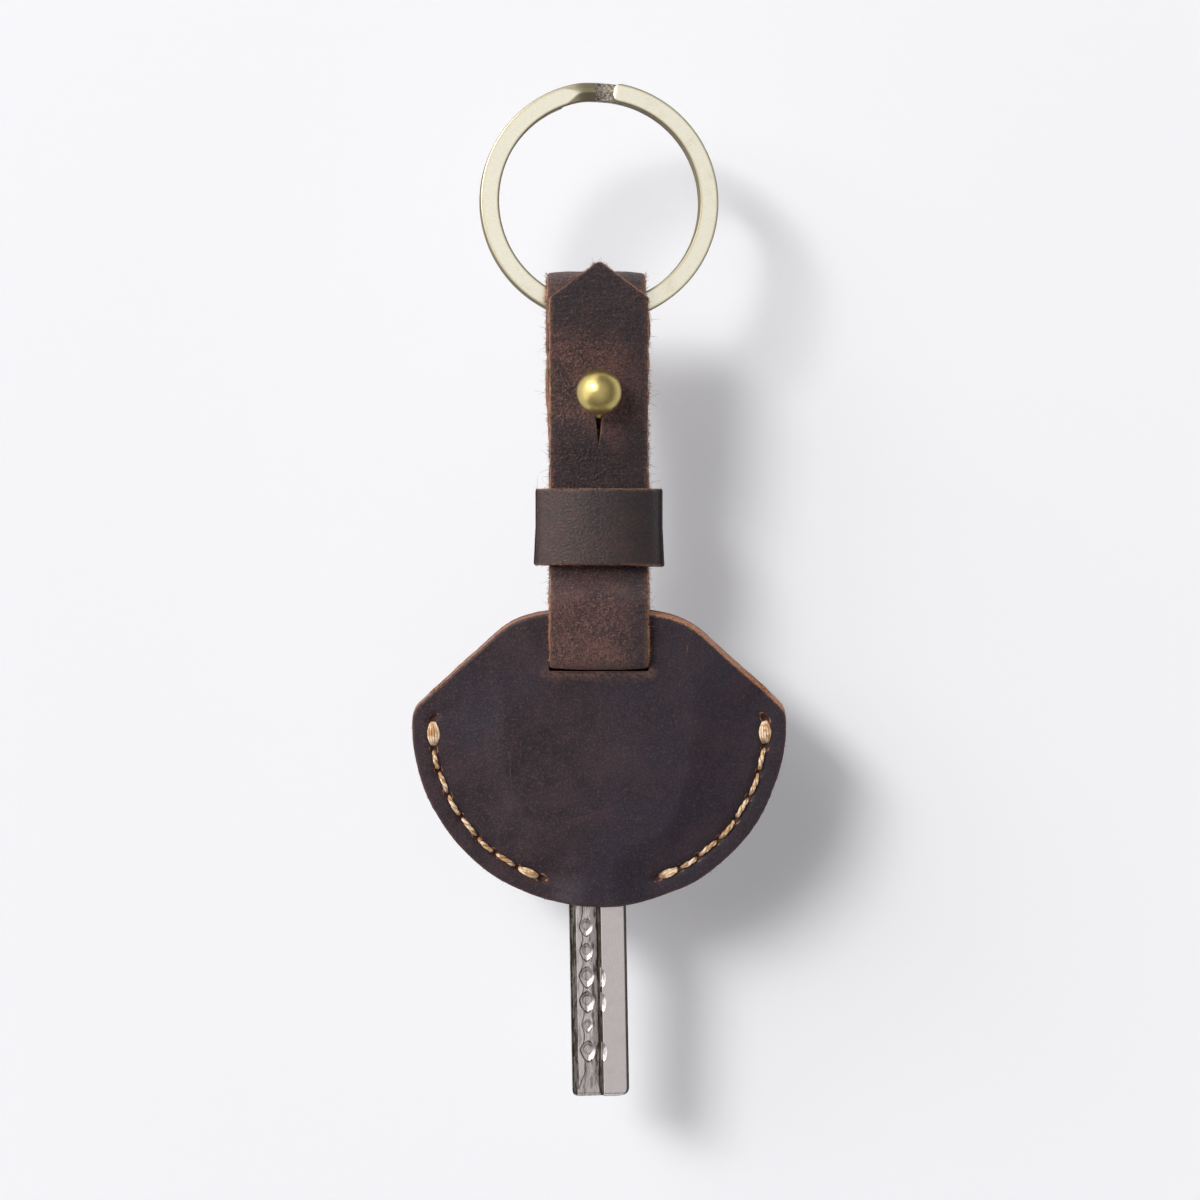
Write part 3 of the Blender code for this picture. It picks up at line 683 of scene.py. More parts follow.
class Graph(Nodes):
    """A material's node tree round a Principled shader."""

    def __init__(self, name: str) -> None:
        """Starts a material.

        Args:
            name: The material's name.
        """
        self.material = bpy.data.materials.new(name)
        self.material.use_nodes = True
        super().__init__(self.material.node_tree, clamped=True)
        self.shader = self.tree.nodes["Principled BSDF"]
        rest = self.node("ShaderNodeAttribute", attribute_name=Trait.REST.value).outputs["Vector"]
        self.place = self.scaled(rest, (MILLIMETRES,) * 3)

    def kept(self, trait: Trait) -> Socket:
        """A value that the mesh keeps at each point."""
        return self.node("ShaderNodeAttribute", attribute_name=trait.value).outputs["Fac"]

    def scaled(self, vector: Socket, factors: Sequence[float]) -> Socket:
        """A vector stretched along each axis.

        Args:
            vector: The vector's socket.
            factors: One factor for each axis.

        Returns:
            A socket with the new vector.
        """
        made = self.node("ShaderNodeVectorMath", operation="MULTIPLY")
        self.link(vector, made.inputs[0])
        made.inputs[1].default_value = tuple(factors)
        return made.outputs[0]

    def noise(self, pattern: Pattern) -> Socket:
        """The pattern's noise, with values about 0.5.

        Args:
            pattern: The noise that is wanted.

        Returns:
            A socket with the noise.
        """
        made = self.node("ShaderNodeTexNoise")
        self.link(self.scaled(self.place, pattern.stretch), made.inputs["Vector"])
        for name in ("Scale", "Detail", "Roughness", "Distortion"):
            made.inputs[name].default_value = getattr(pattern, name.lower())
        return made.outputs["Fac"]

    def shown(self, pattern: Pattern) -> Socket:
        """The pattern's noise over the part of its range that shows."""
        return self.span(self.noise(pattern), *pattern.span)

    def cells(self, scale: float, smoothness: float) -> Socket:
        """The distance to the middle of the nearest of scattered cells.

        Args:
            scale: How many cells lie in a millimetre.
            smoothness: How soft their borders are.

        Returns:
            A socket with the distance.
        """
        made = self.node("ShaderNodeTexVoronoi", feature="SMOOTH_F1")
        self.link(self.place, made.inputs["Vector"])
        made.inputs["Scale"].default_value = scale
        made.inputs["Smoothness"].default_value = smoothness
        return made.outputs["Distance"]

    def mixed(self, share: Socket, first: object, second: object) -> Socket:
        """A colour between two colours.

        Args:
            share: How much of the second is in it.
            first: A socket or a colour.
            second: A socket or a colour.

        Returns:
            The mixed colour's socket.
        """
        made = self.node("ShaderNodeMix", data_type="RGBA")
        self.link(share, made.inputs["Factor"])
        for name, value in (("A", first), ("B", second)):
            self.feed(value, next(s for s in made.inputs if s.name == name and s.type == "RGBA"))
        return next(s for s in made.outputs if s.type == "RGBA")

    def bump(self, height: Socket, depth_mm: float) -> None:
        """Small relief on the surface.

        Args:
            height: The relief's height, from 0 to 1.
            depth_mm: What a height of 1 measures.
        """
        made = self.node("ShaderNodeBump")
        self.link(height, made.inputs["Height"])
        made.inputs["Distance"].default_value = depth_mm / MILLIMETRES
        self.link(made.outputs["Normal"], self.shader.inputs["Normal"])

    def finish(self, colour: Socket, roughness: object, **plain: float) -> Material:
        """Joins the colour and roughness to the shader.

        Args:
            colour: The base colour.
            roughness: A socket or a number.
            plain: Other inputs of the shader, with underscores for spaces.

        Returns:
            The finished material.
        """
        self.link(colour, self.shader.inputs["Base Color"])
        self.feed(roughness, self.shader.inputs["Roughness"])
        for name, value in plain.items():
            self.shader.inputs[name.replace("_", " ")].default_value = value
        return self.material


@dataclass(frozen=True)
class Leather:
    """Oiled, waxed leather: dark and mottled on the face, orange-brown where it was cut."""

    name: str
    deep: Colour
    middle: Colour
    light: Colour
    blue: Colour
    speck: Colour = (0.17, 0.10, 0.078)
    speck_share: float = 0.35
    specks: Pattern = Pattern(3.6, roughness=0.75, span=(0.5, 0.68))
    pit_span: Span = (0.47, 0.37)
    wax_hides: float = 0.6
    streak: Colour = (0.15, 0.08, 0.052)
    streak_share: float = 0.5
    worn_share: float = 0.8
    raw: Colour = (0.52, 0.22, 0.09)
    raw_deep: Colour = (0.10, 0.032, 0.016)
    raw_span: Span = (0.6, 0.8)
    dark: Colour = (0.055, 0.018, 0.0085)
    grain_depth_mm: float = 0.05
    grain_share: float = 0.6
    pebble_scale: float = 3.0
    pebble_smoothness: float = 0.6
    roughness: Span = (0.5, 0.72)
    shine_span: Span = (0.3, 0.7)
    gloss: float = 0.25
    sheen: float = 0.08
    sheen_roughness: float = 0.5
    mottle: Pattern = Pattern(0.16, 5.0, roughness=0.6, distortion=0.4, span=(0.36, 0.66))
    cloud: Pattern = Pattern(0.09, distortion=0.3, span=(0.48, 0.68))
    fine: Pattern = Pattern(1.3, 6.0, roughness=0.7, span=(0.45, 0.85))
    waxed_span: Span = (0.3, 0.6)
    scuffs_across: Pattern = Pattern(0.55, 4.0, (0.35, 2.6, 1.0), 0.6, 1.2, (0.69, 0.76))
    scuffs_along: Pattern = Pattern(0.4, 4.0, (2.8, 0.3, 1.0), 0.6, 1.0, (0.69, 0.75))
    ragged: Pattern = Pattern(2.2, 4.0, span=(0.35, 0.62))
    fibre: Pattern = Pattern(3.5, 5.0, (1.0, 1.0, 2.2), 0.7, span=(0.36, 0.66))
    border: Pattern = Pattern(2.0)
    border_share: float = 0.3
    pores: Pattern = Pattern(6.0, 4.0, roughness=0.7)
    wrinkles: Pattern = Pattern(1.5, 3.0, (0.22, 1.7, 1.0), 0.6)

    def _face(self, graph: Graph) -> Socket:
        """The colour of the face, with its mottling, specks and scuffs, and its wax value, which is
        real wax on the strap and painted shade on right-hand sides.

        Args:
            graph: The material's node tree.

        Returns:
            The colour's socket.
        """
        fine = graph.noise(self.fine)
        waxed = graph.kept(Trait.WAX)
        face = graph.mixed(graph.shown(self.mottle), self.deep, self.middle)
        face = graph.mixed(graph.shown(self.cloud), face, self.blue)
        face = graph.mixed(graph.span(fine, *self.fine.span), face, self.light)
        # Painted shade: where the wax value holds shade, the face darkens towards blue and loses its
        # specks.
        face = graph.mixed(graph.times(waxed, graph.span(fine, *self.waxed_span)), face, self.blue)
        speck = graph.noise(self.specks)
        bare = graph.rest_of(graph.times(waxed, self.wax_hides))
        sprinkle = graph.times(graph.span(speck, *self.specks.span), self.speck_share)
        face = graph.mixed(graph.times(sprinkle, bare), face, self.speck)
        pitted = graph.times(graph.span(speck, *self.pit_span), self.speck_share)
        face = graph.mixed(pitted, face, self.deep)
        hairline = graph.most(graph.shown(self.scuffs_across), graph.shown(self.scuffs_along))
        face = graph.mixed(graph.times(hairline, self.streak_share), face, self.streak)
        worn = graph.times(graph.kept(Trait.WEAR), graph.shown(self.ragged))
        return graph.mixed(graph.times(worn, self.worn_share), face, self.streak)

    def material(self) -> Material:
        """Builds the material from the finish's values.

        Returns:
            The material.
        """
        graph = Graph(self.name)
        face = self._face(graph)
        flesh = graph.mixed(graph.shown(self.fibre), self.raw_deep, self.raw)
        uneven = graph.times(graph.noise(self.border), self.border_share)
        border = graph.plus(graph.kept(Trait.RAW), uneven)
        colour = graph.mixed(graph.span(border, *self.raw_span), face, flesh)
        # Darkens towards dark: painted shade in the stitch holes and on the inner face, and darker
        # cut edges where they are not bare.
        colour = graph.mixed(graph.kept(Trait.STAIN), colour, self.dark)
        cells = graph.cells(self.pebble_scale, self.pebble_smoothness)
        pebble = graph.times(cells, self.grain_share)
        pores = graph.times(graph.noise(self.pores), self.grain_share)
        grain = graph.times(graph.plus(pebble, pores), self.grain_share)
        wrinkle = graph.times(graph.noise(self.wrinkles), graph.kept(Trait.WAX))
        graph.bump(graph.plus(grain, graph.times(wrinkle, self.grain_share)), self.grain_depth_mm)
        shine = graph.span(graph.noise(self.fine), *self.shine_span, *self.roughness)
        plain = {"Specular_IOR_Level": self.gloss, "Sheen_Weight": self.sheen}
        return graph.finish(colour, shine, **plain, Sheen_Roughness=self.sheen_roughness)


@dataclass(frozen=True)
class RawEdge:
    """The cut through the leather: orange-brown fibres."""

    name: str = "raw_edge"
    light: Colour = (0.50, 0.22, 0.09)
    deep: Colour = (0.11, 0.035, 0.016)
    fibre: Pattern = Pattern(4.0, 5.0, (1.0, 1.0, 2.5), 0.7, span=(0.33, 0.68))
    relief_mm: float = 0.12
    roughness: float = 0.85
    gloss: float = 0.2
    sheen: float = 0.2

    def material(self) -> Material:
        """Builds the material from the finish's values.

        Returns:
            The material.
        """
        graph = Graph(self.name)
        fibre = graph.noise(self.fibre)
        colour = graph.mixed(graph.span(fibre, *self.fibre.span), self.deep, self.light)
        graph.bump(fibre, self.relief_mm)
        plain = {"Specular_IOR_Level": self.gloss, "Sheen_Weight": self.sheen}
        return graph.finish(colour, self.roughness, **plain)


@dataclass(frozen=True)
class Fibres:
    """Loose fibres that stand off a cut edge."""

    name: str = "loose_fibres"
    light: Colour = (0.46, 0.21, 0.10)
    dark: Colour = (0.085, 0.036, 0.024)
    tone: Pattern = Pattern(1.6, 2.0, span=(0.42, 0.58))
    roughness: float = 0.7
    gloss: float = 0.3

    def material(self) -> Material:
        """Builds the material from the finish's values.

        Returns:
            The material.
        """
        graph = Graph(self.name)
        colour = graph.mixed(graph.shown(self.tone), self.dark, self.light)
        return graph.finish(colour, self.roughness, Specular_IOR_Level=self.gloss)


@dataclass(frozen=True)
class WaxedThread:
    """Golden waxed thread, with painted shade in the groove between its plies and towards its ends.
    """

    name: str = "golden_thread"
    light: Colour = (0.92, 0.71, 0.48)
    gold: Colour = (0.50, 0.26, 0.085)
    groove: Colour = (0.11, 0.038, 0.012)
    tone: Pattern = Pattern(1.3, 4.0, span=(0.40, 0.6))
    hair: Pattern = Pattern(9.0, roughness=0.7, span=(0.5, 0.75, 0.0, 0.45))
    relief_mm: float = 0.05
    roughness: float = 0.5
    gloss: float = 0.5
    sheen: float = 0.15

    def material(self) -> Material:
        """Builds the material from the finish's values.

        Returns:
            The material.
        """
        graph = Graph(self.name)
        colour = graph.mixed(graph.shown(self.tone), self.gold, self.light)
        hair = graph.noise(self.hair)
        colour = graph.mixed(graph.span(hair, *self.hair.span), colour, self.gold)
        # Painted shade in the grooves between the plies and at the strand's ends.
        colour = graph.mixed(graph.kept(Trait.STAIN), colour, self.groove)
        graph.bump(hair, self.relief_mm)
        plain = {"Specular_IOR_Level": self.gloss, "Sheen_Weight": self.sheen}
        return graph.finish(colour, self.roughness, **plain)


@dataclass(frozen=True)
class Brass:
    """Brass with fine brushing, brown-green patches of age, and painted shade on the ring wire's
    sides and round its jog.
    """

    name: str
    base: Colour
    aged: Colour
    patches: Pattern
    brushing: Pattern
    roughness: Span
    aged_share: float = 0.4
    dark: Colour = (0.075, 0.055, 0.045)
    dull: Colour = (0.42, 0.38, 0.34)
    spots: Pattern = Pattern(1.7, span=(0.68, 0.76))
    crumbs: Pattern = Pattern(4.0, span=(0.35, 0.62))
    shine_span: Span = (0.3, 0.7)
    dulling: float = 0.3
    relief_mm: float = 0.004

    def material(self) -> Material:
        """Builds the material from the finish's values.

        Returns:
            The material.
        """
        graph = Graph(self.name)
        patchy = graph.most(graph.shown(self.patches), graph.shown(self.spots))
        age = graph.times(patchy, self.aged_share)
        # On the ring, the stain and wear values are painted shade.
        tarnish = graph.kept(Trait.STAIN)
        rough = graph.kept(Trait.WAX)
        colour = graph.mixed(graph.most(age, graph.kept(Trait.WEAR)), self.base, self.aged)
        colour = graph.mixed(tarnish, colour, self.dark)
        crumbs = graph.mixed(graph.shown(self.crumbs), self.dark, self.dull)
        colour = graph.mixed(rough, colour, crumbs)
        lines = graph.noise(self.brushing)
        graph.bump(graph.plus(lines, graph.times(rough, graph.noise(self.crumbs))), self.relief_mm)
        worn = graph.times(graph.most(tarnish, rough), self.dulling)
        shine = graph.plus(graph.span(lines, *self.shine_span, *self.roughness), worn)
        return graph.finish(colour, shine, Metallic=1.0)


@dataclass(frozen=True)
class NickelSilver:
    """The key's milled nickel silver, darker and dull in the cuts, with painted shade along their
    edges, and stained in places.
    """

    name: str = "milled_nickel"
    base: Colour = (0.61, 0.555, 0.54)
    stain: Colour = (0.055, 0.047, 0.034)
    cloud: Pattern = Pattern(0.5, 4.0, span=(0.5, 0.8, 0.0, 0.1))
    smears: Pattern = Pattern(1.3, 5.0, (2.2, 0.35, 1.0), 0.65, span=(0.47, 0.6, 0.0, 0.5))
    lines: Pattern = Pattern(6.0, 3.0, (3.0, 0.15, 1.0), 0.6, span=(0.3, 0.7, 0.2, 0.32))
    relief_mm: float = 0.004
    dulling: float = 0.25

    def material(self) -> Material:
        """Builds the material from the finish's values.

        Returns:
            The material.
        """
        graph = Graph(self.name)
        smears = graph.times(graph.shown(self.smears), graph.kept(Trait.WAX))
        dirt = graph.plus(graph.kept(Trait.STAIN), graph.most(graph.shown(self.cloud), smears))
        colour = graph.mixed(dirt, self.base, self.stain)
        lines = graph.noise(self.lines)
        graph.bump(lines, self.relief_mm)
        shine = graph.plus(graph.span(lines, *self.lines.span), graph.times(dirt, self.dulling))
        return graph.finish(colour, shine, Metallic=1.0)


PANEL_LEATHER = Leather(
    "panel_leather",
    deep=(0.013, 0.0078, 0.012),
    middle=(0.035, 0.020, 0.0255),
    light=(0.062, 0.036, 0.039),
    blue=(0.017, 0.013, 0.0215),
    speck_share=0.25,
    streak_share=0.55,
    grain_depth_mm=0.1,
    roughness=(0.45, 0.65),
    gloss=0.2,
)
STRAP_LEATHER = Leather(
    "strap_leather",
    deep=(0.026, 0.0125, 0.013),
    middle=(0.110, 0.047, 0.040),
    light=(0.22, 0.108, 0.087),
    blue=(0.018, 0.0125, 0.0175),
    speck=(0.255, 0.122, 0.090),
    speck_share=0.85,
    specks=Pattern(3.8, roughness=0.75, span=(0.5, 0.68)),
    grain_depth_mm=0.7,
    roughness=(0.45, 0.65),
    gloss=0.3,
)
KEEPER_LEATHER = Leather(
    "keeper_leather",
    deep=(0.024, 0.013, 0.014),
    middle=(0.045, 0.0205, 0.018),
    light=(0.076, 0.038, 0.033),
    blue=(0.0155, 0.0105, 0.012),
    grain_depth_mm=0.14,
    roughness=(0.4, 0.55),
    gloss=0.3,
)
BALL_BRASS = Brass(
    "ball_brass",
    base=(0.53, 0.42, 0.155),
    aged=(0.29, 0.21, 0.065),
    patches=Pattern(0.35, 5.0, roughness=0.65, span=(0.4, 0.7)),
    brushing=Pattern(5.0, 3.0, (1.0, 1.0, 4.0), 0.6),
    roughness=(0.30, 0.38),
)
RING_BRASS = Brass(
    "ring_brass",
    base=(0.985, 0.94, 0.76),
    aged=(0.56, 0.48, 0.24),
    patches=Pattern(0.35, 5.0, roughness=0.65, span=(0.5, 0.85)),
    brushing=Pattern(5.0, 3.0, (0.5, 2.0, 1.0), 0.6),
    roughness=(0.26, 0.34),
    relief_mm=0.0007,
)


@dataclass(frozen=True)
class Hide:
    """The materials of a leather piece: its face, its cut edges and its loose fibres."""

    face: Material
    raw: Material
    fibres: Material


@dataclass
class Fuzz:
    """Short fibres that stand off a cut edge."""

    per_mm: float = 9.0
    length_mm: Span = (0.10, 0.42)
    long_share: float = 0.02
    long_mm: float = 1.5
    shortest: float = 0.35
    radius_mm: float = 0.026
    root_mm: float = 0.05
    joints: int = 4
    sides: int = 3
    lift: float = 0.25
    spread: float = 0.45
    curl: float = 0.8
    curl_share: float = 0.35
    taper: float = 0.75
    clump: Ripple = Ripple(0.9, 1.0, 51.0)
    clump_blur: float = 0.35
    thinning: float = 0.12

    def add_to(
        self, maker: MeshMaker, line: Grid, outward: Grid, draw: np.random.Generator
    ) -> None:
        """Adds the fibres along an edge.

        Args:
            maker: The mesh that they go into.
            line: The edge's points.
            outward: The way out of the leather at each point.
            draw: The source of the random choices.
        """
        length = np.linalg.norm(np.diff(line, axis=0), axis=1).sum() * MILLIMETRES
        count = int(length * self.per_mm)
        places = draw.random(count) * (len(line) - 1)
        first = places.astype(int)
        share = (places - first)[:, None]
        roots = line[first] * (1.0 - share) + line[first + 1] * share
        ways = outward[first] * (1.0 - share) + outward[first + 1] * share
        sizes = draw.uniform(*self.length_mm, count) * (self.shortest + draw.random(count))
        sizes[draw.random(count) < self.long_share] = self.long_mm
        clumps = self.clump.at(roots) + self.clump_blur * draw.random(count)
        for root, way, size, clump in zip(roots, ways, sizes / MILLIMETRES, clumps):
            if clump > self.thinning:
                self._add_one(maker, root, way, size, draw)

    def _add_one(
        self, maker: MeshMaker, root: Grid, way: Grid, size: float, draw: np.random.Generator
    ) -> None:
        """Adds one curved, tapered fibre.

        Args:
            maker: The mesh that it goes into.
            root: Where it leaves the leather.
            way: The way out of the leather there.
            size: Its length.
            draw: The source of the random choices.
        """
        lean = way + draw.normal(0.0, self.spread, 3)
        lean[2] += self.lift * draw.random()
        lean = unit(lean)
        curl = draw.normal(0.0, self.curl, 3)
        steps = np.linspace(0.0, 1.0, self.joints)[:, None]
        start = root - way * self.root_mm / MILLIMETRES
        spine = start + lean * size * steps + curl * size * self.curl_share * steps**2
        side = unit(np.cross(lean, draw.normal(0.0, 1.0, 3)))
        radius = self.radius_mm / MILLIMETRES * (1.0 - self.taper * steps)
        maker.add_grid(tube(spine, side, np.cross(lean, side), radius, self.sides), caps=True)


@dataclass
class CoverShape:
    """The outline, bulge and seam that both panels and the stitching share, in metres."""

    width: float = 0.050
    height: float = 0.0394
    top_above_crossing: float = 0.0069
    corner_height: float = 0.02475
    corner_radius: float = 0.0033
    shoulder_angle: float = math.radians(42.5)
    top_radius: float = 0.013
    bottom_fullness: float = 0.0155
    side_fullness: float = 0.0127
    leather: float = 0.0016
    key_space: float = 0.00145
    seam_space: float = 0.00015
    pinch: Span = (0.0010, 0.0026)
    dome_start: float = 0.0004
    dome_reach: Span = (0.0058, 0.0120)
    stitch_inset: float = 0.0026
    stitch_top: float = 0.0258
    stitch_mouth: float = 0.0078
    past_stitches: float = 0.00095
    around: int = 720
    curve_steps: tuple[int, int, int] = (80, 16, 30)
    uneven: tuple[Ripple, Ripple] = (Ripple(0.22, 0.00012, 3.0), Ripple(1.1, 0.00004, 4.0))

    @property
    def bottom(self) -> float:
        """The height of the cover's lowest point."""
        return self.top_above_crossing - self.height

    def half(self) -> Grid:
        """The right half of the outline, from the bottom middle up to the top.

        Returns:
            The points, one in each row.
        """
        half = self.width / 2
        centre = (half - self.corner_radius, self.bottom + self.corner_height)
        low_steps, corner_steps, top_steps = self.curve_steps
        lower = interpolate_bezier(
            Vector((0.0, self.bottom)),
            Vector((self.bottom_fullness, self.bottom)),
            Vector((half, centre[1] - self.side_fullness)),
            Vector((half, centre[1])),
            low_steps,
        )
        turn = QUARTER - self.shoulder_angle
        corner = arc(centre, self.corner_radius, 0.0, turn, corner_steps)
        top_centre_height = self.top_above_crossing - self.top_radius
        rise = top_centre_height + self.top_radius * math.sin(turn) - corner[-1][1]
        shoulder_end = corner[-1][0] - rise / math.tan(self.shoulder_angle)
        top_centre = (shoulder_end - self.top_radius * math.cos(turn), top_centre_height)
        top = arc(top_centre, self.top_radius, turn, QUARTER, top_steps)
        return np.vstack([np.array([tuple(point) for point in lower]), corner[1:], top])

    def closed(self) -> tuple[Grid, Grid]:
        """The whole outline at equal steps, slightly uneven as a hand-cut edge is.

        Returns:
            The outline's points and the unit vectors into the leather.
        """
        half = self.half()
        line = resampled(np.vstack([half, half[::-1] * (-1.0, 1.0)]), self.around, closed=True)
        uneven = self.uneven[0].at(line) + self.uneven[1].at(line)
        line = line - left_of(line, closed=True) * uneven[:, None]
        return line, left_of(line, closed=True)

    def _sewn(self, past: float) -> tuple[Grid, Grid]:
        """The right-hand seam and the ways into the leather, with some way past its ends.

        Args:
            past: How far past its ends the stretch reaches.

        Returns:
            The seam's points and the unit vectors into the leather.
        """
        line = self.half()
        sides = left_of(line)
        seam = line + sides * self.stitch_inset
        below_top = seam[:, 1] <= self.bottom + self.stitch_top + past
        sewn = (seam[:, 0] >= self.stitch_mouth - past) & below_top
        return seam[sewn], sides[sewn]

    def seam(self) -> Grid:
        """The sewn stretch of the right-hand seam, from the mouth up."""
        return self._sewn(0.0)[0]

    def sewn_border(self) -> Grid:
        """Points between the sewn stretch and the edge, where the two leathers lie together."""
        seam, sides = self._sewn(self.past_stitches)
        return np.vstack([seam - sides * self.stitch_inset * share for share in (0.0, 0.5, 1.0)])

    def spaces(self, points: Grid) -> tuple[Grid, Grid]:
        """Half the space between the panels, as the key needs it and as the outer face shows it.

        Args:
            points: The places, one in each row.

        Returns:
            The distances from the middle to the leather's inner face, and to its outer face less
            the leather's thickness.
        """
        border = self.sewn_border()
        places = np.abs(points[:, :1]) * (1.0, 0.0) + points * (0.0, 1.0)
        gaps = np.linalg.norm(places[:, None, :] - border[None, :, :], axis=2).min(axis=1)
        room = self.key_space - self.seam_space
        inner = self.seam_space + room * smoothstep(*self.pinch, gaps)
        aside = smoothstep(self.stitch_mouth, self.stitch_mouth * 2.0, places[:, 0])
        reach = self.dome_reach[0] + (self.dome_reach[1] - self.dome_reach[0]) * aside
        domed = (gaps - self.dome_start) / (reach - self.dome_start)
        return inner, self.seam_space + room * smoothstep(0.0, 1.0, domed)


@dataclass
class Stitching:
    """Saddle stitches down both sides of the cover, the first and last of each row in a bundle."""

    shape: CoverShape
    right_steps: tuple[float, ...] = (25.4, 22.2, 28.1, 28.1, 27.3, 28.0, 27.7, 30.1)
    left_steps: tuple[float, ...] = (27.3, 26.9, 23.8, 26.6, 26.8, 26.1, 22.9, 32.3)
    radius: float = 0.0003
    lean: float = 0.00008
    twist_pitch: float = 0.0026
    bundle_radius: float = 0.00021
    bundle_leans: tuple[float, ...] = (-0.00062, -0.00031, 0.0, 0.00031, 0.00062)
    bundle_pitch: float = 0.011
    mouth_share: float = 0.55
    dive: float = 0.0011
    dive_shares: Span = (0.15, 0.85)
    lift: float = 0.2
    crown: float = 0.45
    crown_width: float = 0.0009
    bulge_power: float = 0.75
    turn_by_lean: float = 9000.0
    ply_groove: float = 0.22
    ply_fullness: float = 1.5
    end_thickness: float = 0.7
    groove_dark: float = 0.9
    groove_span: Span = (0.55, 0.05)
    end_dark: float = 0.8
    end_spans: tuple[float, ...] = (0.03, 0.4, 0.99, 0.86)
    trim: float = 0.06
    rings: int = 48
    sides: int = 18
    hole_reach: Span = (0.00078, 0.00046)
    hole_depth: float = 0.0006
    hole_dark: Span = (1.0, 0.3)
    lip_at: float = 1.3
    lip_spread: float = 0.5
    furrow_depth: float = 0.0002
    furrow_width: float = 0.0007
    nearby: float = 1e-4

    def holes(self, side: int) -> tuple[Grid, Grid]:
        """Where the thread goes through the leather, from the mouth up.

        Args:
            side: -1 for the left row and 1 for the right.

        Returns:
            The holes' places and the way that the seam runs at each.
        """
        run = self.shape.seam()
        lengths = lengths_along(run)
        steps = self.right_steps if side > 0 else self.left_steps
        places = np.concatenate([[0.0], np.cumsum(steps)]) / sum(steps) * lengths[-1]
        points, ahead, behind = (
            at_lengths(run, lengths, places + step) for step in (0.0, self.nearby, -self.nearby)
        )
        return points * (side, 1.0), unit(ahead - behind) * (side, 1.0)

    def dips(self, points: Grid) -> tuple[Grid, Grid, Grid]:
        """How the leather is drawn in round the holes.

        Args:
            points: Places on the cover's plane.

        Returns:
            The depth at each point in metres, the painted shade in the holes and the raw lips round
            them.
        """
        depth, dark, lip = np.zeros((3, len(points)))
        for side in (-1, 1):
            holes, ways = self.holes(side)
            for hole, way in zip(holes, ways):
                offset = points - hole
                across = offset @ np.array([-way[1], way[0]])
                near = (offset @ way / self.hole_reach[0]) ** 2 + (across / self.hole_reach[1]) ** 2
                depth = np.maximum(depth, self.hole_depth * np.exp(-near))
                dark = np.maximum(dark, smoothstep(*self.hole_dark, near))
                lip = np.maximum(lip, np.exp(-((near - self.lip_at) ** 2) / self.lip_spread))
            for lower, upper in zip(holes, holes[1:]):
                way = upper - lower
                share = np.clip(((points - lower) @ way) / (way @ way), 0.0, 1.0)
                gap = np.linalg.norm(points - lower - share[:, None] * way, axis=1)
                depth = np.maximum(depth, self.furrow_depth * bell(gap, self.furrow_width))
        return depth, dark, lip

    def _strand(
        self, maker: MeshMaker, start: Grid, end: Grid, face: Face, lean: float, bundled: bool
    ) -> None:
        """Adds one twisted strand that dives into the leather at both ends.

        Args:
            maker: The mesh that it goes into.
            start: The hole that it comes out of.
            end: The hole that it goes into.
            face: The side of the cover that it lies on.
            lean: How far its middle bows sideways.
            bundled: Whether it is one of several thinner strands.
        """
        share = np.linspace(0.0, 1.0, self.rings)
        length = np.linalg.norm(end - start)
        way = (end - start) / length
        across = np.array([-way[1], way[0]])
        arch = np.sin(share * math.pi)
        radius = self.bundle_radius if bundled else self.radius
        line = start + (end - start) * (self.trim + (1.0 - 2.0 * self.trim) * share)[:, None]
        line = line + across * (lean * arch**self.bulge_power)[:, None]
        low, high = self.dive_shares
        rise = smoothstep(0.0, low, share) * smoothstep(1.0, high, share)
        crown = self.crown * (1.0 - abs(lean) / self.crown_width)
        surface = self.shape.seam_space + self.shape.leather
        height = surface - self.dive * (1.0 - rise) + radius * (self.lift + crown * arch)
        spine = np.column_stack([line, height * face.value])
        side = np.tile(np.append(across, 0.0), (self.rings, 1))
        up = np.cross(side, unit(np.gradient(spine, axis=0)))
        angles = np.arange(self.sides) * math.tau / self.sides
        pitch = self.bundle_pitch if bundled else self.twist_pitch
        twist = (share * length / pitch * math.tau)[:, None]
        turned = angles[None, :] - twist + lean * self.turn_by_lean
        ply = np.abs(np.cos(turned))
        waist = 1.0 - self.ply_groove + self.ply_groove * self.ply_fullness * ply
        thick = radius * (self.end_thickness + (1.0 - self.end_thickness) * arch)[:, None] * waist
        # Painted shade: dark in the grooves between the plies and towards both ends, where the strand
        # dives into the leather, longer at the lower end.
        groove = smoothstep(*self.groove_span, ply) * self.groove_dark
        first, second = self.end_spans[:2], self.end_spans[2:]
        middle = smoothstep(*first, share) * smoothstep(*second, share)
        stain = np.maximum(groove, (1.0 - middle)[:, None] * self.end_dark)
        skin = tube(spine, side[:, None, :], up[:, None, :], thick, self.sides)
        maker.add_grid(skin, {Trait.STAIN: stain}, caps=True)

    def build(self, side: int, thread: Material) -> Thing:
        """Makes one row of stitches, front and back.

        Args:
            side: -1 for the left row and 1 for the right.
            thread: The thread's material.

        Returns:
            The thread, in the cover's frame.
        """
        maker = MeshMaker()
        holes, _ = self.holes(side)
        for face in Face:
            for index, (lower, upper) in enumerate(zip(holes, holes[1:])):
                bundled = index in (0, len(holes) - 2)
                leans = self.bundle_leans if bundled else (self.lean * (-1) ** index,)
                for lean in leans:
                    lean = lean * self.mouth_share if index == 0 else lean
                    self._strand(maker, lower, upper, face, lean, bundled)
        return maker.piece("stitches_left" if side < 0 else "stitches_right", thread)


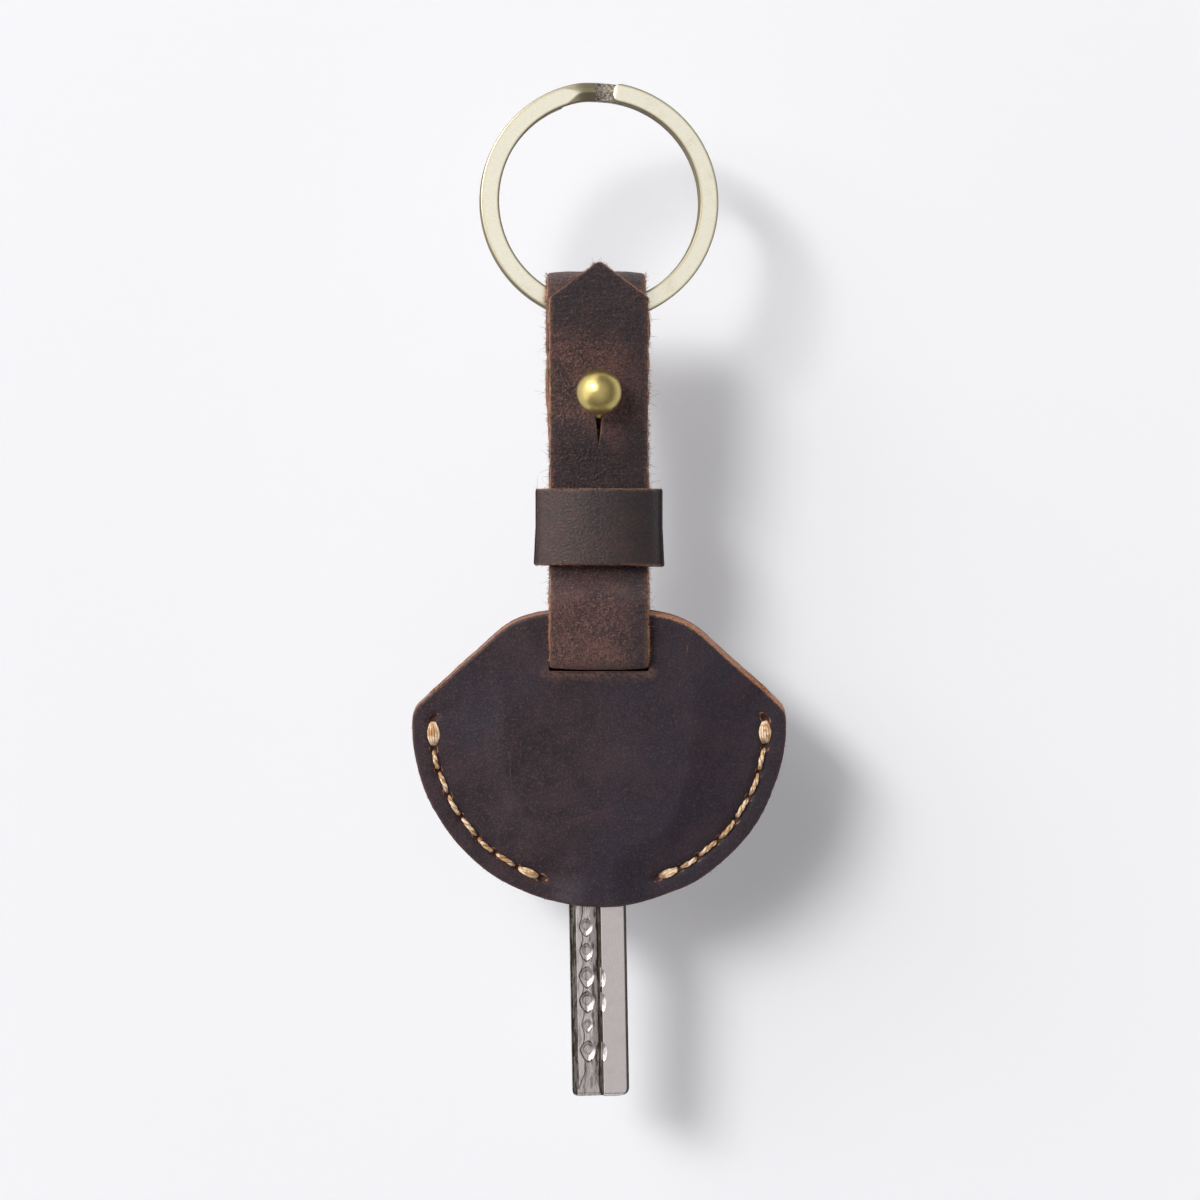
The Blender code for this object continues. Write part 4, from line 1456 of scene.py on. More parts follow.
@dataclass
class Panel:
    """One leather panel of the cover."""

    shape: CoverShape
    stitching: Stitching
    face: Face
    edge_round: float = 0.00035
    edge_steps: int = 5
    edge_band: float = 0.0024
    wall_spread: float = 0.00036
    wall_shares: tuple[float, ...] = (0.33, 0.66, 1.0)
    slot_half_width: float = 0.00665
    slot_heights: Span = (0.00087, 0.0008)
    slot_round: float = 0.0003
    slot_steps: int = 4
    rings_at_edge: int = 14
    rings_inside: int = 60
    ring_power: float = 1.45
    ring_reach: float = 0.985
    rolling: tuple[Ripple, Ripple] = (Ripple(0.09, 0.00016, 10.0), Ripple(0.5, 0.000035, 11.0))
    slot_swell: float = 0.0001
    slot_swell_reach: float = 0.0014
    slot_wear: float = 0.75
    slot_wear_span: Span = (0.0016, 0.0003)
    lip_raw: float = 0.58
    lip_patches: Ripple = Ripple(1.6, 0.6, 17.0)
    hole_stain: float = 0.9
    bare_span: Span = (0.05, 0.74)
    bare_left: float = 0.75
    bare_turn: float = 300.0
    arris_raw: Span = (0.25, 0.5)
    arris_wear: float = 0.35
    arris_stain: float = 0.3
    wall_least: float = 0.15
    wall_stain: Span = (0.55, 0.5)
    inner_stain: float = 0.5
    inner_every: int = 3
    right_wax: float = 0.6
    wax_span: Span = (-0.006, 0.022)
    wax_slant: float = 0.25
    fibre_shares: Span = (0.25, 0.75)
    fibre_inset: float = 0.00005
    fibres: Fuzz = field(default_factory=lambda: Fuzz(2.2, (0.05, 0.22), 0.004))

    def _borders(self, outline: Grid, sides: Grid) -> list[Grid]:
        """The outlines from the edge inwards.

        Args:
            outline: The edge's points.
            sides: The unit vectors into the leather.

        Returns:
            The outlines in order.
        """
        insets = np.linspace(self.edge_round, self.edge_band, self.rings_at_edge)
        borders = [outline + sides * inset for inset in insets]
        centre = np.array([0.0, self.shape.bottom + self.shape.height / 2])
        inward = (np.arange(1, self.rings_inside + 1) / self.rings_inside) ** self.ring_power
        shares = 1.0 - inward * self.ring_reach
        return borders + [centre + (borders[-1] - centre) * share for share in shares]

    def _outer_face(self, points: Grid) -> tuple[Grid, dict[str, Grid]]:
        """The outer face's height, with its dips, and the values for its material.

        Args:
            points: Places on the cover's plane.

        Returns:
            The heights, and the values under the traits' names.
        """
        depth, dark, lip = self.stitching.dips(points)
        rolling = sum(ripple.at(points, self.face.value) for ripple in self.rolling)
        height = self.shape.spaces(points)[1] + self.shape.leather - depth + rolling
        edge = np.maximum(np.abs(points[:, 0]) - self.slot_half_width, 0.0)
        below = np.hypot(edge, points[:, 1] + self.slot_heights[0])
        height += self.slot_swell * bell(below, self.slot_swell_reach)
        return height, {
            "raw": lip * (self.lip_raw + self.lip_patches.at(points)),
            "wear": smoothstep(*self.slot_wear_span, below) * self.slot_wear * (points[:, 1] < 0.0),
            # Painted shade in the stitch holes.
            "stain": dark * self.hole_stain,
        }

    def build(self, hide: Hide) -> Thing:
        """Makes the panel with its slot.

        Args:
            hide: The materials.

        Returns:
            The panel, in the cover's frame.
        """
        sign = self.face.value
        outline, sides = self.shape.closed()
        borders = self._borders(outline, sides)
        skin = Rows()
        for border in reversed(borders):
            height, values = self._outer_face(border)
            skin.add(flat_points(border, height * sign), **values)
        to_right = np.tanh(outline[:, 0] * self.bare_turn)
        bare = smoothstep(*self.bare_span, -sides[:, 1])
        bare = bare * (self.bare_left + (1.0 - self.bare_left) * to_right)
        for angle in np.linspace(0.0, QUARTER, self.edge_steps + 1)[1:]:
            reach = self.edge_round * (1.0 - math.sin(angle))
            drop = self.edge_round * (1.0 - math.cos(angle))
            skin.add(
                flat_points(outline + sides * reach, (height - drop) * sign),
                raw=(self.arris_raw[0] + self.arris_raw[1] * angle) * bare,
                wear=self.arris_wear + (1.0 - self.arris_wear) * bare,
                stain=self.arris_stain * (1.0 - bare),
            )
        fall = height - self.edge_round - self.shape.spaces(borders[0])[0]
        for share in self.wall_shares:
            spread = self.wall_spread * share * (self.wall_least + (1.0 - self.wall_least) * bare)
            level = (height - self.edge_round - fall * share) * sign
            wall = flat_points(outline - sides * spread[:, None], level)
            stain = self.wall_stain[0] - self.wall_stain[1] * bare
            skin.add(wall, raw=1.0, wear=1.0, stain=stain)
        for border in borders[:: self.inner_every]:
            inner = self.shape.spaces(border)[0] * sign
            # Painted shade on the inner face, inside the cover.
            skin.add(flat_points(border, inner), raw=1.0, wear=0.0, stain=self.inner_stain)
        grid, traits = skin.grid()
        # Painted shade: the wax value darkens the panel towards its right-hand side, away from the
        # light.
        slanted = grid[..., 0] - self.wax_slant * grid[..., 1]
        traits[Trait.WAX] = self.right_wax * smoothstep(*self.wax_span, slanted)
        maker = MeshMaker()
        maker.add_grid(grid, traits, caps=True)
        panel = maker.piece(f"{self.face.name.lower()}_panel_leather", hide.face, hide.raw)
        cut(panel, [self._slot_cutter(hide.raw)])
        return panel

    def _slot_cutter(self, raw: Material) -> Thing:
        """The slot for the strap, with rounded ends.

        Args:
            raw: The material of the cut.

        Returns:
            The cutter.
        """
        wide = self.slot_half_width - self.slot_round
        tall = self.slot_heights[0 if self.face is Face.FRONT else 1] - self.slot_round
        outline = np.vstack(corner_arcs(wide, tall, self.slot_round, self.slot_steps))
        top = flat_points(outline, self.shape.key_space + self.shape.leather * 2)
        return prism("slot", top, top * (1.0, 1.0, -1.0), raw)

    def fuzz(self, draw: np.random.Generator, hide: Hide) -> Thing:
        """Fibres along the cut edge.

        Args:
            draw: The source of the random choices.
            hide: The materials.

        Returns:
            The fibres as one piece, in the cover's frame.
        """
        outline, sides = self.shape.closed()
        inner = self.shape.spaces(outline)[0]
        maker = MeshMaker()
        for share in self.fibre_shares:
            height = (inner + self.shape.leather * share) * self.face.value
            line = flat_points(outline - sides * self.fibre_inset, height)
            self.fibres.add_to(maker, line, flat_points(-sides, 0.0), draw)
        return maker.piece(f"{self.face.name.lower()}_panel_fibres", hide.fibres)


@dataclass
class StrapShape:
    """The strap's section and centreline, in metres from the crossing."""

    width: float = 0.013
    leather: float = 0.0016
    fit: float = 0.0003
    leg_middle: float = 0.00415
    bend: float = 0.0012
    bend_steps: int = 14
    leaves_cover: float = 0.0074
    flare_end: float = 0.0122
    flat_length: float = 0.0017
    stud_height: float = 0.0359
    flange_radius: float = 0.0032
    tongue_at_flange: float = 0.00355
    tongue_at_loop: float = 0.00575
    tip_height: float = 0.0531
    shoulder_height: float = 0.0485
    loop_flare: float = 0.0398
    loop_radius: float = 0.00385
    loop_steps: int = 40
    short_end: float = 0.0316
    split_height: float = 0.0180
    split_overlap: float = 0.0004
    edge_round: float = 0.00024
    step: float = 0.00018
    easing: int = 5

    @property
    def closed_middle(self) -> float:
        """The height of each leg's middle where the two lie together."""
        return (self.leather + self.fit) / 2

    def front_line(self) -> Grid:
        """From the back leg behind the keeper, down, through the cover and up to the tip.

        Returns:
            The points, as height along the strap and distance from the middle plane.
        """
        closed, leg, bend = self.closed_middle, self.leg_middle, self.bend
        lean = math.tan(COVER_TILT)
        bottom = leg + bend * lean
        leaves = (self.leaves_cover, leg + self.leaves_cover * lean)
        rise_end = (self.stud_height - self.flange_radius, self.tongue_at_flange)
        rise = (HINGE_HEIGHT + self.flat_length, closed)
        parts = [
            np.array([(self.split_height, -closed), (self.flare_end, -closed)]),
            eased((self.flare_end, -closed), (self.leaves_cover, -leg)),
            np.array([(bend * 2, -leg)]),
            arc((bend, bend - leg), bend, math.pi * 1.5, math.pi, self.bend_steps),
            arc((bend, bottom - bend), bend, math.pi, QUARTER, self.bend_steps),
            np.array([leaves]),
            eased(leaves, (self.flare_end, closed)),
            np.array([(HINGE_HEIGHT, closed), rise]),
            eased(rise, rise_end),
            eased(rise_end, (RING_AXIS_HEIGHT, self.tongue_at_loop)),
            np.array([(self.tip_height, self.tongue_at_loop)]),
        ]
        return self._even(np.vstack(parts))

    def loop_line(self) -> Grid:
        """From the short end, round the ring and down the back to behind the keeper.

        Returns:
            The points, as height along the strap and distance from the middle plane.
        """
        closed, centre, radius = self.closed_middle, RING_AXIS_HEIGHT, self.loop_radius
        parts = [
            np.array([(self.short_end, closed), (self.loop_flare, closed)]),
            eased((self.loop_flare, closed), (centre, radius)),
            arc((centre, 0.0), radius, QUARTER, -QUARTER, self.loop_steps)[1:],
            eased((centre, -radius), (self.loop_flare, -closed)),
            np.array([(self.split_height - self.split_overlap, -closed)]),
        ]
        return self._even(np.vstack(parts))

    def _even(self, line: Grid) -> Grid:
        """The line at equal steps, with its bends a little eased.

        Args:
            line: The line's points.

        Returns:
            The new points.
        """
        length = np.linalg.norm(np.diff(line, axis=0), axis=1).sum()
        even = resampled(line, int(length / self.step))
        reach = self.easing
        before = 2.0 * even[0] - even[reach:0:-1]
        after = 2.0 * even[-1] - even[-2 : -reach - 2 : -1]
        padded = np.vstack([before, even, after])
        weights = np.hanning(2 * reach + 3)[1:-1]
        weights /= weights.sum()
        return np.column_stack([np.convolve(column, weights, "valid") for column in padded.T])


@dataclass
class StrapSweep:
    """A leather strip swept along a centreline, with cut edges that wander a little."""

    shape: StrapShape
    line: Grid
    half_widths: Grid
    seed: float
    shift: Grid
    wax: Grid
    across: int = 76
    wall_steps: int = 5
    bottom_steps: int = 14
    bottom_spread: float = 0.00034
    lean_least: float = 0.55
    lean: Ripple = Ripple(0.4, 1.1, 7.0)
    wander: float = 0.00010
    wander_from: float = 0.85
    ragged: tuple[Ripple, Ripple] = (Ripple(1.4, 1.0, 0.0), Ripple(0.35, 0.6, 2.0))
    crown: float = 0.00028
    crown_power: int = 4
    ripple: Ripple = Ripple(0.45, 0.00005, 5.0, (0.5, 1.0, 0.0))
    grain: Ripple = Ripple(1.9, 0.00005, 6.0, (1.0, 1.0, 0.0))
    crease: Ripple = Ripple(0.95, 0.00008, 8.0, (0.22, 1.0, 0.0))
    relief_from: float = 0.5
    wear_span: Span = (0.0007, 0.0001)
    raw_span: Span = (0.45, 1.0)
    dark_right: float = 0.8
    dark_span: Span = (0.001, 0.006)
    fibre_levels: tuple[float, ...] = (-0.6, 0.0, 0.7)
    fibre_inset: float = 0.4
    tip_half_width: float = 0.0011
    tip_steps: int = 12
    tip_slope: float = 0.6
    tip_turn: float = 500.0

    def _section(self) -> tuple[Grid, Grid, Grid, Grid]:
        """The section's points as shares of the inner rectangle and of the corner radius.

        Returns:
            The shares across the strip, then those through it, for the rectangle and the corner.
        """
        turns, wall = ROUNDING_TURNS, np.linspace(1.0, -1.0, self.wall_steps)
        part = [(x, 0.0, 1.0, 1.0) for x in np.linspace(-1.0, 1.0, self.across)]
        part += [(1.0, math.sin(a), 1.0, math.cos(a)) for a in turns]
        part += [(1.0, 1.0, y, 0.0) for y in wall]
        part += [(1.0, math.cos(a), -1.0, -math.sin(a)) for a in turns]
        part += [(x, 0.0, -1.0, -1.0) for x in np.linspace(1.0, -1.0, self.bottom_steps)]
        part += [(-1.0, -math.sin(a), -1.0, -math.cos(a)) for a in turns]
        part += [(-1.0, -1.0, y, 0.0) for y in -wall]
        part += [(-1.0, -math.cos(a), 1.0, math.sin(a)) for a in turns]
        return tuple(np.array(column) for column in zip(*part))

    def grid(self) -> tuple[Grid, dict[Trait, Grid]]:
        """The strip's points and its material's values.

        Returns:
            The points in rows along the strip, and the traits.
        """
        x_share, x_round, z_share, z_round = self._section()
        radius = self.shape.edge_round
        half_thickness = self.shape.leather / 2
        normals = left_of(self.line)
        on_wall = np.abs(x_round)
        rows = len(self.line)
        side = np.sign(x_share)
        level = z_share * (half_thickness - radius) + z_round * radius
        places = np.arange(rows)[:, None] * self.shape.step
        slope = np.hstack([places, np.zeros((rows, 1))])
        left, right = (
            self.lean_least + self.lean.at(slope + sign, self.seed) for sign in (-1.0, 1.0)
        )
        lean = np.clip(np.where(side < 0.0, left[:, None], right[:, None]), 0.0, 1.0)
        spread = self.bottom_spread * lean * (1.0 - level / half_thickness) / 2
        across = x_share * (self.half_widths[:, None] - radius) + x_round * radius
        across = across + side * on_wall * spread
        depth = np.tile(level, (rows, 1))
        flat = np.stack([across, np.tile(places, (1, len(x_share))), depth], axis=-1)
        ragged = sum(ripple.at(flat, self.seed) for ripple in self.ragged)
        at_edge = smoothstep(self.wander_from, 1.0, np.abs(x_share))
        across = across + side * at_edge * ragged * self.wander
        upper = (level / half_thickness + 1.0) / 2
        rolled = np.clip(np.abs(across) / self.shape.width * 2, 0.0, 1.0) ** self.crown_power
        depth = depth - self.crown * upper * rolled
        relief = self.ripple.at(flat, self.seed) + self.grain.at(flat, self.seed)
        relief = relief + self.crease.at(flat, self.seed) * self.wax[:, None]
        depth = depth + np.where(z_round > self.relief_from, relief, 0.0)
        points = np.empty((rows, len(x_share), 3))
        points[..., 0] = across + self.shift[:, None]
        points[..., 1] = self.line[:, :1] + normals[:, :1] * depth
        points[..., 2] = self.line[:, 1:] + normals[:, 1:] * depth
        # The wax value also holds painted shade: the strap darkens towards its right-hand side, away
        # from the light and in the ball's shadow.
        dark = self.wax[:, None] + self.dark_right * smoothstep(*self.dark_span, across)
        return points, {
            Trait.RAW: np.tile(smoothstep(*self.raw_span, on_wall), (rows, 1)),
            Trait.WEAR: smoothstep(*self.wear_span, self.half_widths[:, None] - np.abs(across)),
            Trait.WAX: np.clip(dark, 0.0, 1.0),
        }

    def edges(self) -> Iterable[tuple[Grid, Grid]]:
        """The lines along the cut edges and the way out at each, for the fibres.

        Returns:
            A line and its vectors for each level of each edge.
        """
        normals = left_of(self.line)
        for side in (-1.0, 1.0):
            for level in self.fibre_levels:
                place = self.line + normals * level * self.shape.leather / 2
                x = side * (self.half_widths + self.bottom_spread * self.fibre_inset) + self.shift
                yield np.column_stack([x, place]), np.tile((side, 0.0, 0.0), (len(x), 1))

    def tip(self) -> tuple[Grid, Grid]:
        """A short line over the pointed end and the way out there, for the fibres.

        Returns:
            The line's points and the unit vectors out of the leather.
        """
        across = np.linspace(-self.tip_half_width, self.tip_half_width, self.tip_steps)
        line = np.tile(np.append(0.0, self.line[-1]), (len(across), 1))
        line[:, 0] = across
        line[:, 1] -= np.abs(across) * self.tip_slope
        out = np.column_stack([across * self.tip_turn, np.ones(len(across)), np.zeros(len(across))])
        return line, unit(out)


@dataclass
class Strap:
    """The strap in two dressed pieces: front leg with its tongue, and the loop round the ring."""

    shape: StrapShape = field(default_factory=StrapShape)
    hole_radius: float = 0.0021
    hole_steps: int = 40
    cut_levels: Span = (0.0072, 0.0024)
    slit_bottom: float = 0.0291
    slit_bottom_half_widths: Span = (0.00002, 0.00004)
    slit_top_half_width: float = 0.00068
    slit_overlap: float = 0.6
    slit_lean: float = 0.00038
    blend_before: float = 0.0006
    blend_length: float = 0.0135
    tip_flat: float = 0.0003
    waxed: Span = (0.0275, 0.0435)
    wax_ends: tuple[float, ...] = (0.003, 0.002, 0.004, 0.003)
    wax_low: float = 0.85
    wax_at_slot: float = 0.5
    slot_wax_span: Span = (0.006, 0.013)
    above_hinge: Span = (-0.002, 0.008)
    front_seed: float = 21.0
    loop_seed: float = 31.0
    loop_wax: float = 0.2
    loop_shift: float = -0.00042
    loop_shift_reach: Span = (-0.004, 0.006)
    loop_narrower: float = 0.00005
    draw_seed: int = 11
    fibres: Fuzz = field(default_factory=lambda: Fuzz(15.0, (0.1, 0.42), 0.010))
    tip_fibres: Fuzz = field(default_factory=lambda: Fuzz(90.0, (0.2, 0.6), 0.0))

    def _front_wax(self, height: Grid) -> Grid:
        """How waxed the front leg is at each height: most at the tip and low on the tongue.

        Args:
            height: The heights above the crossing.

        Returns:
            A number from 0 to 1 for each height.
        """
        low, high = self.waxed
        above_low, below_low, below_high, above_high = self.wax_ends
        wax = smoothstep(high - below_high, high + above_high, height)
        wax = np.maximum(wax, smoothstep(low + above_low, low - below_low, height) * self.wax_low)
        from_hinge, tongue = (HINGE_HEIGHT + reach for reach in self.above_hinge)
        at_slot = self.wax_at_slot * smoothstep(*self.slot_wax_span, height)
        wax = np.maximum(wax * (height > from_hinge), at_slot)
        on_tongue = wax - self.wax_at_slot * (wax <= self.wax_at_slot)
        return np.clip(np.where(height > tongue, on_tongue, wax), 0.0, 1.0)

    def _front_sweep(self) -> StrapSweep:
        """The sweep of the front leg and the tongue.

        Returns:
            The sweep.
        """
        shape = self.shape
        line = shape.front_line()
        half = np.full(len(line), shape.width / 2)
        climbing = np.arange(len(line)) > len(line) // 2
        to_tip = (shape.tip_height - line[:, 0]) / (shape.tip_height - shape.shoulder_height)
        pointed = self.tip_flat + (half - self.tip_flat) * np.clip(to_tip, 0.0, 1.0)
        widths = np.where(climbing, pointed, half)
        wax = self._front_wax(line[:, 0])
        return StrapSweep(shape, line, widths, self.front_seed, np.zeros(len(line)), wax)

    def _loop_sweep(self) -> StrapSweep:
        """The sweep of the loop, which lies a little to the left of the tongue.

        Returns:
            The sweep.
        """
        shape = self.shape
        line = shape.loop_line()
        start, end = (shape.short_end + reach for reach in self.loop_shift_reach)
        shift = self.loop_shift * smoothstep(start, end, line[:, 0])
        widths = np.full(len(line), shape.width / 2 - self.loop_narrower)
        wax = np.full(len(line), self.loop_wax)
        return StrapSweep(shape, line, widths, self.loop_seed, shift, wax)

    def _hole_cutters(self, raw: Material) -> list[Thing]:
        """The buttonhole and the slit below it, whose right-hand lip leans out.

        Args:
            raw: The material of the cut.

        Returns:
            The cutters.
        """
        stud = self.shape.stud_height
        circle = arc((0.0, stud), self.hole_radius, 0.0, math.tau, self.hole_steps)[:-1]
        width = self.slit_top_half_width
        top = stud - self.hole_radius * self.slit_overlap
        slits = [
            np.array([(-width, top), (-point, self.slit_bottom), (width + lean, top)])
            for point, lean in zip(self.slit_bottom_half_widths, (self.slit_lean, -self.slit_lean))
        ]
        return [
            prism("buttonhole", *(flat_points(circle, level) for level in self.cut_levels), raw),
            prism("button_slit", *map(flat_points, slits, self.cut_levels), raw),
        ]

    def build(self, hide: Hide) -> None:
        """Makes both pieces with their fibres and sets them on the model.

        Args:
            hide: The materials.
        """
        draw = np.random.default_rng(self.draw_seed)
        start = CROSSING + Vector((0.0, HINGE_HEIGHT - self.blend_before, 0.0))
        bend = Bend(Body.TONGUE, start, start + Vector((0.0, self.blend_length, 0.0)))
        pieces = (
            ("strap_front_and_tongue", self._front_sweep(), bend, ("strap", "strap_tongue")),
            ("strap_loop", self._loop_sweep(), None, ()),
        )
        for name, sweep, bends, nodes in pieces:
            maker = MeshMaker()
            maker.add_grid(*sweep.grid(), caps=True)
            piece = maker.piece(name, hide.face, hide.raw)
            fringe = MeshMaker()
            for line, outward in sweep.edges():
                self.fibres.add_to(fringe, line, outward, draw)
            if bends:
                cut(piece, self._hole_cutters(hide.raw))
                self.tip_fibres.add_to(fringe, *sweep.tip(), draw)
            fluff = fringe.piece(f"{name}_fibres", hide.fibres)
            settle(piece, Body.COVER, Slot.STRAP, *nodes, bend=bends)
            settle(fluff, Body.COVER, Slot.STRAP, bend=bends)


@dataclass
class Keeper:
    """The closed loop of leather round the strap's legs."""

    bottom: float = 0.01315
    height: float = 0.0102
    inner_half_width: float = 0.0069
    inner_face: float = 0.00205
    inner_radius: float = 0.0006
    leather: float = 0.0016
    edge_round: float = 0.0003
    corner_steps: int = 12
    around: int = 260
    along: int = 44
    end_steps: int = 5
    inner_steps: int = 10
    flare: float = 0.0002
    sag: float = 0.00022
    sag_reach: float = 0.0085
    uneven: Ripple = Ripple(0.5, 0.00006, 41.0)
    uneven_power: int = 3
    rolling: Ripple = Ripple(0.16, 0.00005, 43.0)
    crown: Span = (0.00035, 0.0021)
    crown_power: float = 2.2
    crown_span: Span = (0.001, 0.003)
    inner_raw: float = 0.9
    arris_raw: float = 0.5
    right_wax: float = 0.9
    wax_span: Span = (-0.003, 0.007)
    wear_from: float = 0.9
    draw_seed: int = 12
    fibre_levels: Span = (0.4, 0.9)
    fibre_inset: float = 0.00005
    fibres: Fuzz = field(default_factory=lambda: Fuzz(9.0, (0.06, 0.3)))

    def _outline(self, offset: float) -> Grid:
        """The loop seen from its end, moved out from the inner face.

        Args:
            offset: How far out the outline is moved.

        Returns:
            The outline's points.
        """
        wide = self.inner_half_width - self.inner_radius
        tall = self.inner_face - self.inner_radius
        corners = corner_arcs(wide, tall, self.inner_radius + offset, self.corner_steps)
        return resampled(np.vstack(corners), self.around, closed=True)

    def _section(self) -> list[tuple[float, float, float]]:
        """The wall's section, as how far out, how far up and how raw each point is.

        Returns:
            The section's points in order.
        """
        wall, radius, length = self.leather, self.edge_round, self.height / 2
        ease = [(radius * (1 - math.cos(a)), radius * (1 - math.sin(a))) for a in ROUNDING_TURNS]
        part = [(wall, y, 0.0) for y in np.linspace(radius - length, length - radius, self.along)]
        part += [(wall - low, length - high, self.arris_raw) for low, high in ease]
        part += [(x, length, 1.0) for x in np.linspace(wall - radius, radius, self.end_steps)]
        inside = np.linspace(length - radius, radius - length, self.inner_steps)
        part += [(0.0, y, self.inner_raw) for y in inside]
        part += [(x, -length, 1.0) for x in np.linspace(radius, wall - radius, self.end_steps)]
        return part + [(wall - high, low - length, self.arris_raw) for low, high in ease]

    def build(self, hide: Hide) -> None:
        """Makes the loop with its fibres and sets it on the model.

        Args:
            hide: The materials.
        """
        wall, length = self.leather, self.height / 2
        middle = self.bottom + length
        skin = Rows()
        for offset, along, raw in self._section():
            outline = self._outline(offset)
            share = along / length
            low = max(-share, 0.0)
            wide = 1.0 + (self.flare / self.inner_half_width) * low
            level = np.full(len(outline), middle + along)
            spot = np.column_stack([outline[:, 0] * wide, level, outline[:, 1]])
            sag = self.sag * smoothstep(0.0, self.sag_reach, outline[:, 0]) * low
            spot[:, 1] += self.uneven.at(spot) * abs(share) ** self.uneven_power - sag
            outer = max(offset / wall, 0.0) * np.sign(spot[:, 2])
            aside = np.clip(np.abs(spot[:, 0]) / (self.inner_half_width + wall), 0.0, 1.0)
            swell = self.crown[0] - self.crown[1] * aside**self.crown_power + self.rolling.at(spot)
            spot[:, 2] += outer * smoothstep(*self.crown_span, np.abs(spot[:, 2])) * swell
            skin.add(spot, raw=raw, wear=smoothstep(self.wear_from, 1.0, abs(share)))
        grid, traits = skin.grid()
        # Painted shade: the wax value darkens the keeper towards its right-hand side, away from the
        # light.
        traits[Trait.WAX] = self.right_wax * smoothstep(*self.wax_span, grid[..., 0])
        maker = MeshMaker()
        maker.add_grid(grid, traits, wrap_rows=True)
        settle(maker.piece("keeper_loop", hide.face, hide.raw), Body.KEEPER, Slot.KEEPER, "keeper")
        draw = np.random.default_rng(self.draw_seed)
        fringe = MeshMaker()
        for end in (-1.0, 1.0):
            for share in self.fibre_levels:
                outline = self._outline(wall * share)
                level = np.full(len(outline), middle + end * (length - self.fibre_inset))
                line = np.column_stack([outline[:, 0], level, outline[:, 1]])
                self.fibres.add_to(fringe, line, np.tile((0.0, end, 0.0), (len(line), 1)), draw)
        settle(fringe.piece("keeper_fibres", hide.fibres), Body.KEEPER, Slot.KEEPER)


@dataclass
class BallStud:
    """The ball stud and the slotted screw that holds it from behind."""

    height: float = 0.0359
    ball_radius: float = 0.003
    ball_centre: float = 0.007862
    ball_top_angle: float = 0.004
    ball_steps: int = 60
    neck_radius: float = 0.0018
    fillet: float = 0.0003
    fillet_share: float = 0.3
    flange_radius: float = 0.0032
    flange_top: float = 0.00245
    flange_bevel: float = 0.0001
    seat: float = 0.00185
    shank_radius: float = 0.0009
    shank_top: float = 0.00405
    shank_bevel: float = 0.0003
    head_radius: float = 0.0035
    head_thickness: float = 0.0009
    head_bevel: float = 0.00008
    head_dome: float = 0.0005
    dome_turns: Span = (1.2, 1.57)
    dome_steps: int = 12
    slot_width: float = 0.0008
    slot_depth: float = 0.0004
    slot_reach: float = 1.5
    slot_below: float = 0.001
    on_axis: float = 1e-6
    sides: int = 128

    def _turned(self, name: str, profile: Sequence[Span], brass: Material) -> Thing:
        """A closed profile of (radius, height) pairs turned about the stud's axis.

        Args:
            name: The piece's name.
            profile: The pairs, from the top down.
            brass: Its material.

        Returns:
            The new object.
        """
        angles = np.arange(self.sides) * math.tau / self.sides
        radii, levels = np.array(profile).T[:, :, None]
        radii = np.maximum(radii, self.on_axis)
        across = [radii * np.cos(angles), self.height + radii * np.sin(angles)]
        maker = MeshMaker()
        maker.add_grid(np.stack([*across, levels + 0.0 * angles], axis=-1), caps=True)
        return maker.piece(name, brass)

    def _stud(self, brass: Material) -> Thing:
        """The ball with its neck and flange.

        Args:
            brass: Its material.

        Returns:
            The stud.
        """
        ball, neck, fillet = self.ball_radius, self.neck_radius, self.fillet
        bevel = self.flange_bevel
        top, eased_by = self.flange_top, self.fillet * self.fillet_share
        meets = math.pi - math.asin(neck / ball)
        turns = np.linspace(self.ball_top_angle, meets, self.ball_steps)
        profile = [(ball * math.sin(a), self.ball_centre + ball * math.cos(a)) for a in turns]
        profile += [(neck, top + fillet), (neck + eased_by, top + eased_by), (neck + fillet, top)]
        profile += [(self.flange_radius - bevel, top), (self.flange_radius, top - bevel)]
        profile += [(self.flange_radius, self.seat), (0.0, self.seat)]
        return self._turned("ball_stud", profile, brass)

    def _screw(self, brass: Material) -> Thing:
        """The screw with its slotted, slightly domed head.

        Args:
            brass: Its material.

        Returns:
            The screw.
        """
        head, shank, bevel = self.head_radius, self.shank_radius, self.head_bevel
        bottom = -self.seat - self.head_thickness
        out, down = self.dome_turns
        profile = [(0.0, self.shank_top), (shank, self.shank_top - self.shank_bevel)]
        profile += [(shank, -self.seat), (head - bevel, -self.seat), (head, -self.seat - bevel)]
        profile += [
            (head * math.cos(share * out), bottom + self.head_dome * math.cos(share * down))
            for share in np.linspace(0.0, 1.0, self.dome_steps)
        ]
        screw = self._turned("stud_screw_head", profile + [(0.0, bottom)], brass)
        half, reach = self.slot_width / 2, head * self.slot_reach
        signs = np.array([(-1, -1), (1, -1), (1, 1), (-1, 1)])
        corners = signs * (reach, half) + (0.0, self.height)
        levels = (bottom + self.slot_depth, bottom - self.slot_below)
        cut(screw, [prism("screw_slot", *(flat_points(corners, level) for level in levels), brass)])
        return screw

    def build(self, brass: Material) -> None:
        """Makes the stud and the screw and sets them on the model.

        Args:
            brass: Their material.
        """
        settle(self._stud(brass), Body.COVER, Slot.BRASS, "stud")
        settle(self._screw(brass), Body.COVER, Slot.BRASS, "stud_screw")


